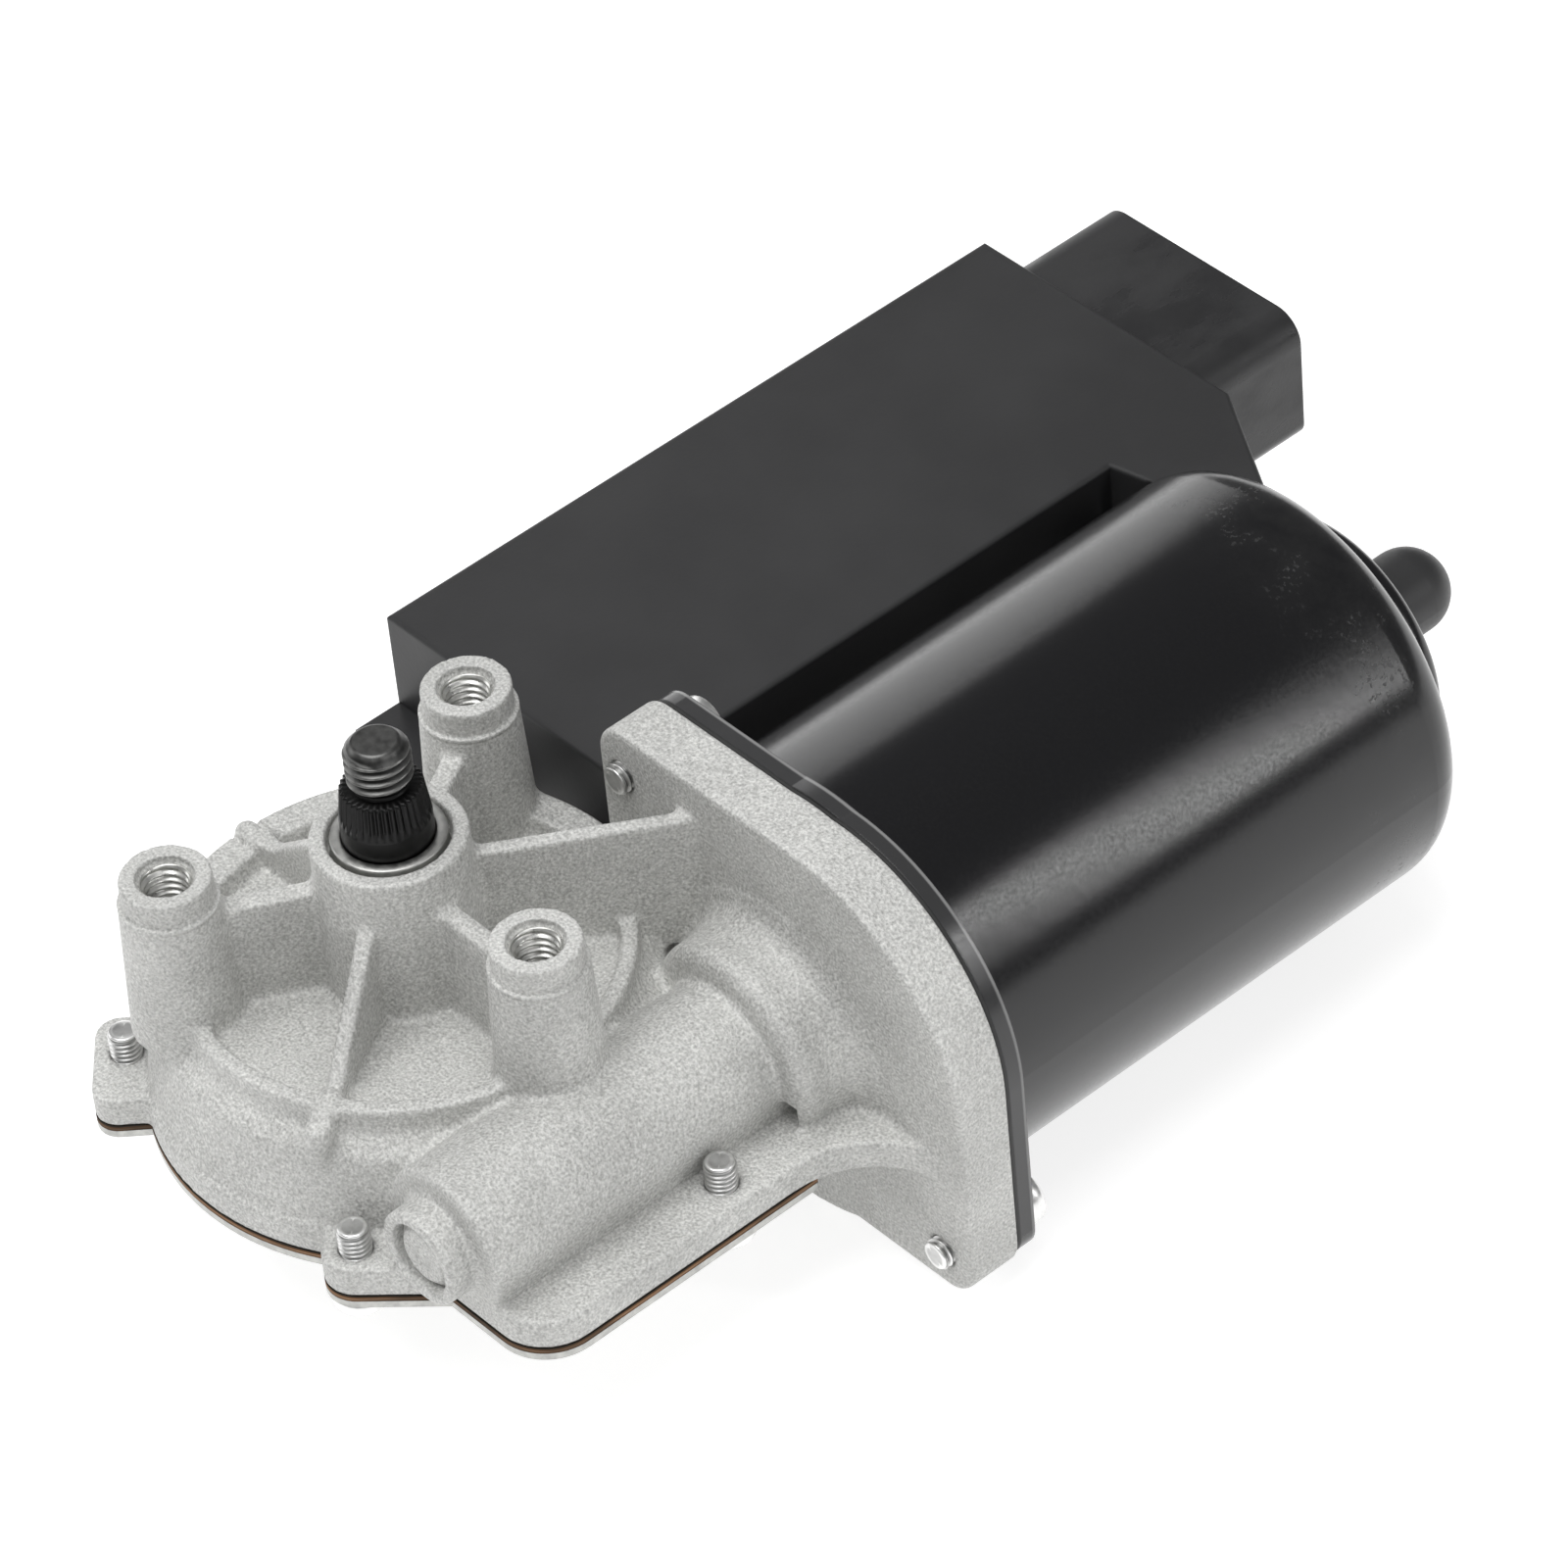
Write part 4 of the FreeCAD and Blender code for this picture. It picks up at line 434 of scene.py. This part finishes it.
VOXEL = 0.28 * MM
BAND = 4
FILLET = 0.6
EDGE = 0.25
CLEAR_TOP = 3
WHOLE = -1
MOTOR_AXIS = (32.4, -27.9)
TUNNEL_RADIUS = 9.5
BOSS_CIRCLE = 26.25
BOSSES = [(BOSS_CIRCLE * math.cos(a), BOSS_CIRCLE * math.sin(a))
          for a in (0.0, math.tau / 3, -math.tau / 3)]
BOSS_RADIUS = 5.5
BOSS_STEP = -3.4
BOSS_STEP_RADIUS = 6.02
BOSS_HOLE_RADIUS = 3.0
BOSS_HOLE_FLOOR = -14
BOSS_MOUTH_RADIUS = 3.5
BOSS_MOUTH_FLOOR = -0.7


def triangles_of(item):
    item.data.calc_loop_triangles()
    points = np.empty(len(item.data.vertices) * 3, np.float32)
    item.data.vertices.foreach_get("co", points)
    faces = np.empty(len(item.data.loop_triangles) * 3, np.int32)
    item.data.loop_triangles.foreach_get("vertices", faces)
    return points.reshape(-1, 3), faces.reshape(-1, 3)


def level_set(points, triangles, quads):
    return openvdb.FloatGrid.createLevelSetFromPolygons(
        points, triangles=triangles, quads=quads,
        transform=openvdb.createLinearTransform(voxelSize=VOXEL), halfWidth=BAND)


class Casting:
    """Distances to a surface on a regular grid, in millimetres."""

    def __init__(self, grid):
        low, high = grid.evalActiveVoxelBoundingBox()
        self.low = np.array(low)
        self.field = np.empty(np.array(high) - self.low + 1, np.float32)
        grid.copyToArray(self.field, ijk=low)
        self.field /= MM

    def window(self, low, high):
        """The part of the grid inside a box, with the place of each of its points."""
        step = VOXEL / MM
        first = np.maximum(np.floor(np.array(low) / step).astype(int) - self.low, 0)
        last = np.minimum(np.ceil(np.array(high) / step).astype(int) - self.low + 1,
                          self.field.shape)
        lines = [(np.arange(a, b) + o) * step for a, b, o in zip(first, last, self.low)]
        part = self.field[tuple(slice(a, b) for a, b in zip(first, last))]
        return part, np.meshgrid(*lines, indexing="ij")

    def carve(self, low, high, shape):
        """Takes a shape away inside a box."""
        part, places = self.window(low, high)
        np.maximum(part, -shape(*places), out=part)

    def add(self, low, high, shape):
        """Joins a shape on inside a box."""
        part, places = self.window(low, high)
        np.minimum(part, shape(*places), out=part)

    def surface(self):
        grid = openvdb.FloatGrid(BAND * VOXEL / MM)
        grid.copyFromArray(self.field, ijk=tuple(int(i) for i in self.low))
        grid.transform = openvdb.createLinearTransform(voxelSize=VOXEL)
        return grid.convertToQuads(isovalue=0.0)


# Each shape below gives the distance to itself, negative inside.

def slab(value, low, high):
    return np.maximum(low - value, value - high)


def rib_axes(x, y, degrees):
    """Distances along and across a rib that runs out from the shaft."""
    turn = math.radians(degrees)
    return x * math.cos(turn) + y * math.sin(turn), y * math.cos(turn) - x * math.sin(turn)


def motor_reach(x, z):
    return np.hypot(x - MOTOR_AXIS[0], z - MOTOR_AXIS[1])


def ring_shape(at, inner, outer, low, high):
    """An upright ring."""
    def shape(x, y, z):
        reach = np.hypot(x - at[0], y - at[1])
        return np.maximum(slab(reach, inner, outer), slab(z, low, high))
    return shape


def mouth_shape(at, radius, grow, low, high):
    """A cone that widens by grow from the height low to the height high."""
    def shape(x, y, z):
        reach = np.hypot(x - at[0], y - at[1])
        wide = radius + grow * (z - low) / (high - low)
        return np.maximum(reach - wide, slab(z, low, high))
    return shape


def nose_bore_shape(x, y, z):
    """The bore in the nose of the worm tunnel that holds the plug."""
    radius, front, floor_place = 4.6, -28, -20
    return np.maximum(motor_reach(x, z) - radius, slab(y, front, floor_place))


def stake_shape(x, y, z):
    """The punch mark that holds the plug."""
    offset, radius, floor_place = 3.2, 0.8, -25.4
    across = np.hypot(x - MOTOR_AXIS[0] - offset, z - MOTOR_AXIS[1] + offset)
    return np.maximum(across - radius, y - floor_place)


def foot_shape(x, y, z):
    """The open corner between the worm tunnel and the shelf beside it."""
    return np.maximum.reduce([TUNNEL_RADIUS - motor_reach(x, z), slab(z, -32.9, -29.5),
                              slab(x, 38, 44)])


def skirt_shape(x, y, z):
    """The steep lower side of the worm tunnel, down to the shelf."""
    draft = 0.16
    wall = MOTOR_AXIS[0] + TUNNEL_RADIUS - draft * (MOTOR_AXIS[1] - z)
    return np.maximum.reduce([slab(x, 37.5, wall), slab(z, -33.5, MOTOR_AXIS[1]),
                              slab(y, -21.6, 23)])


def left_toe_shape(x, y, z):
    """What is taken off the square end of the left rib to leave it round."""
    half, top, start, reach = 1.55, -17.4, 27.8, 29.7
    out, side = rib_axes(x, y, 180)
    bar = np.sqrt(np.maximum(out - reach, 0) ** 2 + side ** 2 + (z - top + half) ** 2) - half
    box = np.maximum.reduce([slab(out, start, reach + half + 1), abs(side) - half - 0.6,
                             slab(z, top - half, top + 1)])
    return np.maximum(box, -bar)


def front_toe_shape(x, y, z):
    """The rounded bar that runs down over the front edge of the deck."""
    start, top, run, fall, radius = 25.2, -19.6, 4.9, 1.4, 1.75
    out, side = rib_axes(x, y, 300)
    share = ((out - start) * run - (z - top) * fall) / (run * run + fall * fall)
    share = np.clip(share, 0, 1)
    return np.sqrt((out - start - run * share) ** 2 + side ** 2
                   + (z - top + fall * share) ** 2) - radius


def shape_boss(casting, at):
    """Turned top with a step below it, and a countersunk hole."""
    x, y = at
    low, high = (x - 8, y - 8, -6), (x + 8, y + 8, 1)
    casting.carve(low, high, ring_shape(at, BOSS_RADIUS, 7.0, BOSS_STEP, CLEAR_TOP))
    casting.add(low, high, ring_shape(at, WHOLE, BOSS_RADIUS, -4.5, 0))
    casting.add(low, high, ring_shape(at, WHOLE, BOSS_STEP_RADIUS, -5.5, BOSS_STEP))
    casting.carve((x - 5, y - 5, BOSS_HOLE_FLOOR), (x + 5, y + 5, 2),
                  ring_shape(at, WHOLE, BOSS_HOLE_RADIUS, BOSS_HOLE_FLOOR, CLEAR_TOP))
    casting.carve(low, high,
                  ring_shape(at, WHOLE, BOSS_MOUTH_RADIUS, BOSS_MOUTH_FLOOR, CLEAR_TOP))
    casting.carve(low, high,
                  mouth_shape(at, BOSS_HOLE_RADIUS, BOSS_MOUTH_RADIUS - BOSS_HOLE_RADIUS,
                              -1.3, BOSS_MOUTH_FLOOR))


def cast_surface(item, fillet, edge):
    """Closes inside corners to a fillet, then rounds outside corners and makes the cuts."""
    points, triangles = triangles_of(item)
    points, quads = level_set(points, triangles, None).convertToQuads(isovalue=fillet * MM)
    grid = level_set(points, None, quads)
    points, quads = grid.convertToQuads(isovalue=-(fillet + edge) * MM)
    casting = Casting(level_set(points, None, quads))
    casting.field -= edge
    for at in BOSSES:
        shape_boss(casting, at)
    casting.carve((-10, -10, -4), (10, 10, 2), ring_shape((0, 0), WHOLE, 7.4, -2.4, CLEAR_TOP))
    casting.carve((25, -28, -36), (40, -22, -20), nose_bore_shape)
    casting.carve((33, -28, -36), (40, -24, -28), stake_shape)
    casting.carve((38, -21, -33), (44, 24, -29.5), foot_shape)
    casting.add((37, -22, -34), (43, 24, -27), skirt_shape)
    casting.add((9, -30, -24), (19, -19, -17), front_toe_shape)
    casting.carve((-33, -4, -20), (-26, 4, -15), left_toe_shape)
    return casting.surface()


def fill_mesh(item, points, quads):
    """Gives an object a mesh of quads, smoothed once."""
    mesh = item.data
    mesh.vertices.add(len(points))
    mesh.vertices.foreach_set("co", np.asarray(points, np.float32).ravel())
    corners = np.asarray(quads, np.int32)[:, ::-1].ravel()
    mesh.loops.add(len(corners))
    mesh.loops.foreach_set("vertex_index", corners)
    mesh.polygons.add(len(quads))
    mesh.polygons.foreach_set("loop_start", np.arange(len(quads), dtype=np.int32) * 4)
    mesh.polygons.foreach_set("use_smooth", np.ones(len(quads), bool))
    mesh.update(calc_edges=True)
    mesh.validate()
    smooth = item.modifiers.new("relax", "SMOOTH")
    smooth.factor = 0.5
    smooth.iterations = 1


housing = new_piece("cast_housing", "cast_aluminium", "housing")
fill_mesh(housing, *cast_surface(nodes["gear_housing"], FILLET, EDGE))
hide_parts("gear_housing")


# Threads, splines and other turned detail, in millimetres. A profile is a list of rows,
# each a height with a radius or with a function that gives the radius by turn and height.

THREAD_STEP = 0.08


def thread_profile(pitch, root, crest, low, high):
    """Radius of a thread by turn and height, running out at both ends."""
    flat, run_out = 0.12, pitch * 0.6

    def radius(turn, z):
        phase = (z / pitch - turn) % 1.0
        ridge = 1 - abs(2 * phase - 1)
        ridge = min(max((ridge - flat) / (1 - 2 * flat), 0.0), 1.0)
        ends = min((z - low) / run_out, (high - z) / run_out, 1.0)
        return root + (crest - root) * ridge * max(ends, 0.0)
    return radius


def turned_mesh(item, rows, segments, hollow=False):
    """Skins the rows of a profile round +Z, closed by flat ends unless it is hollow."""
    build = bmesh.new()
    rings = []
    for height, radius in rows:
        ring = []
        for i in range(segments):
            turn = i / segments
            reach = radius(turn, height) if callable(radius) else radius
            angle = turn * math.tau
            ring.append(build.verts.new((reach * math.cos(angle) * MM,
                                         reach * math.sin(angle) * MM, height * MM)))
        rings.append(ring)
    pairs = list(zip(rings, rings[1:]))
    if hollow:
        pairs.append((rings[-1], rings[0]))
    for below, above in pairs:
        for i in range(segments):
            j = (i + 1) % segments
            build.faces.new((below[i], below[j], above[j], above[i])).smooth = True
    if not hollow:
        build.faces.new(list(reversed(rings[0])))
        build.faces.new(rings[-1])
    bmesh.ops.recalc_face_normals(build, faces=build.faces)
    build.to_mesh(item.data)
    build.free()


def heights(low, high, step):
    count = max(2, math.ceil((high - low) / step))
    return [low + (high - low) * i / count for i in range(count + 1)]


def output_shaft():
    """Black shaft: plain band, serrated taper, relief neck and M8 thread."""
    item = new_piece("output_shaft_detail", "shaft_steel", "output")
    teeth, tooth_depth, tooth_run_out = 36, 0.42, 1.4
    shaft_radius, taper_start, taper_length, taper_drop = 5.48, 3.0, 4.7, 0.53

    def knurl(turn, z):
        plain = shaft_radius - taper_drop * (z - taper_start) / taper_length
        fade = min(max((z - taper_start) / tooth_run_out, 0.0), 1.0)
        wave = abs(2 * ((turn * teeth) % 1.0) - 1)
        return plain - tooth_depth * fade * wave

    thread = thread_profile(1.25, 3.28, 4.0, 8.3, 14.6)
    rows = [(-32.9, 5.2), (-32.6, shaft_radius), (-5.0, shaft_radius), (-4.95, 4.5),
            (-3.65, 4.5), (-3.6, shaft_radius), (1.2, shaft_radius), (2.9, shaft_radius)]
    rows += [(z, knurl) for z in heights(taper_start, 7.55, 0.25)]
    rows += [(7.7, 4.45), (7.7, 3.4), (7.8, 3.22), (8.4, 3.2)]
    rows += [(z, thread) for z in heights(8.5, 13.2, THREAD_STEP)]
    rows += [(13.3, 3.75), (13.75, 3.35), (14.1, 3.0), (14.28, 2.8), (14.35, 2.55), (14.32, 2.4)]
    turned_mesh(item, rows, teeth * 8)
    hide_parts("output_shaft")


def upper_bush():
    """Grey bush with a bright rounded outer corner."""
    item = new_piece("upper_bush_detail", "sintered_iron", "housing")
    rows = [(-9.85, 5.52), (-9.85, 7.1), (-2.6, 7.1), (-2.5, 6.93), (-0.1, 6.93), (0.05, 6.88),
            (0.15, 6.72), (0.15, 5.75), (0.1, 5.6), (-0.05, 5.52)]
    turned_mesh(item, rows, 128, hollow=True)
    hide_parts("upper_bush")


def thrust_plug():
    """Plug in the end of the worm tunnel, dished inside a chamfered rim."""
    item = new_piece("thrust_plug_detail", SLOT_OF["thrust_plug"], "housing")
    places = [vertex.co for vertex in nodes["thrust_plug"].data.vertices]
    rear = max(place.y for place in places) / MM
    radius = max(place.x for place in places) / MM - MOTOR_AXIS[0]
    rows = [(-rear, radius), (24.7, radius), (24.8, radius - 0.1), (25.7, 3.5), (25.85, 3.3),
            (25.9, 3.0), (25.9, 1.6), (25.7, 1.3), (25.7, 0.5)]
    turned_mesh(item, rows, 96)
    item.data.transform(shift(MOTOR_AXIS[0], 0, MOTOR_AXIS[1]) @ TO_FRONT)
    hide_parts("thrust_plug")


def boss_ledges():
    """Crisp step round each boss below its turned top."""
    rows = [(-4.0, 5.3), (-4.0, 6.03), (-3.5, 6.03), (-3.38, 5.94), (-3.38, 5.3)]
    for i, (x, y) in enumerate(BOSSES):
        item = new_piece("boss_ledge_%d" % i, "cast_aluminium", "housing")
        turned_mesh(item, rows, 96, hollow=True)
        item.data.transform(shift(x, y, 0))


def boss_threads():
    """Bright M6 threads cut in the three bosses."""
    floor_height, mouth, behind = -13.8, -0.9, 3.12
    thread = thread_profile(1.0, BOSS_HOLE_RADIUS, 2.5, floor_height, mouth)
    rows = [(z, thread) for z in heights(floor_height, mouth, THREAD_STEP)]
    rows += [(mouth, behind), (floor_height, behind)]
    for i, (x, y) in enumerate(BOSSES):
        item = new_piece("boss_thread_%d" % i, "cut_aluminium", "housing")
        turned_mesh(item, rows, 64, hollow=True)
        item.data.transform(shift(x, y, 0))


def screw_rows(length, head_radius, head_height):
    """Profile of an M4 screw from the floor of its recess to its tip, tip up at height 0."""
    def lobes(radius):
        def lobed(turn, z):
            return radius * (1 + 0.16 * math.cos(6 * math.tau * turn))
        return lobed

    thread = thread_profile(0.7, 1.58, 2.0, -length - 1, 1.5)
    foot = -length - head_height
    rows = [(foot + 1.2, lobes(1.2)), (foot + 0.1, lobes(1.4)), (foot, 1.9),
            (foot, head_radius - 0.7), (foot + 0.25, head_radius - 0.2),
            (foot + 0.6, head_radius), (-length, head_radius)]
    rows += [(z, thread) for z in heights(-length, -0.45, 0.07)]
    rows += [(-0.4, 1.7), (-0.3, 1.84), (-0.08, 1.78), (0.0, 1.6), (0.0, 1.3), (-0.02, 1.2),
             (-0.02, 0.7)]
    return rows


def detailed_screws(name, places, length, head_radius, head_height):
    """Stands in for a group of screws, each given by the matrix of its tip."""
    item = new_piece(name + "_detail", "screw_steel", "housing")
    whole = bmesh.new()
    for place in places:
        turned_mesh(item, screw_rows(length, head_radius, head_height), 48)
        item.data.transform(place)
        whole.from_mesh(item.data)
    whole.to_mesh(item.data)
    whole.free()
    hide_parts(name)


def cover_screws():
    circle, tip_height = 34.8, -29.5
    places = [(circle * math.cos(math.radians(a)), circle * math.sin(math.radians(a)))
              for a in (227.5, 152.0, 308.0)] + [(44.0, 9.0)]
    detailed_screws("cover_screws", [shift(x, y, tip_height) for x, y in places], 9.2, 3.6, 2.4)


def flange_screws():
    tip_place = 28.0
    places = [shift(x, tip_place, z) @ TO_FRONT for x, z in ((6.6, -6.5), (58.2, -49.3))]
    detailed_screws("flange_screws", places, 11.6, 3.6, 3.4)


output_shaft()
upper_bush()
thrust_plug()
boss_ledges()
boss_threads()
cover_screws()
flange_screws()


# Floor and background, in metres. What the camera and what gloss sees of them has a
# strength of its own.

FLOOR_GAP = 0.0005
FLOOR_HALF = 3.0
FLOOR_SEEN = 0.75
FLOOR_MIRRORED = 0.95
SKY_STRENGTH = 0.35
SKY_MIRRORED = 0.24
SKY_SEEN = 1.0
WHITE = (1, 1, 1, 1)


def add_floor():
    paint = Paint("floor", (0.52, 0.52, 0.52), roughness=0.9, specular=0.0)
    paint.shader.inputs["Emission Color"].default_value = WHITE
    rays = paint.node("ShaderNodeLightPath")
    seen = paint.times(rays.outputs["Is Camera Ray"], FLOOR_SEEN)
    mirrored = paint.times(rays.outputs["Is Glossy Ray"], FLOOR_MIRRORED)
    paint.wire(paint.maths("ADD", seen, mirrored), "Emission Strength")
    paint.tint(paint.noise(30.0, 2.0), (0.51, 0.51, 0.51), (0.53, 0.53, 0.53))
    mesh = bpy.data.meshes.new("floor")
    build = bmesh.new()
    bmesh.ops.create_grid(build, x_segments=8, y_segments=8, size=FLOOR_HALF)
    build.to_mesh(mesh)
    build.free()
    mesh.materials.append(paint.material)
    item = add_object("floor", mesh)
    item.location = (0, 0, cad_box[0][Z] - FLOOR_GAP)


def light_world():
    """Even white light, dimmer in gloss and white to the camera."""
    world = bpy.data.worlds.new("world")
    bpy.context.scene.world = world
    world.use_nodes = True
    tree = world.node_tree
    sky = tree.nodes["Background"]
    sky.inputs["Color"].default_value = WHITE
    rays = tree.nodes.new("ShaderNodeLightPath")
    level = None
    for ray, strength in (("Is Glossy Ray", SKY_MIRRORED), ("Is Camera Ray", SKY_SEEN)):
        step = tree.nodes.new("ShaderNodeMapRange")
        step.inputs["To Min"].default_value = SKY_STRENGTH
        step.inputs["To Max"].default_value = strength
        tree.links.new(rays.outputs[ray], step.inputs["Value"])
        if level:
            tree.links.new(level.outputs["Result"], step.inputs["To Min"])
        level = step
    tree.links.new(level.outputs["Result"], sky.inputs["Strength"])


add_floor()
light_world()
bpy.context.scene.view_settings.view_transform = "Standard"
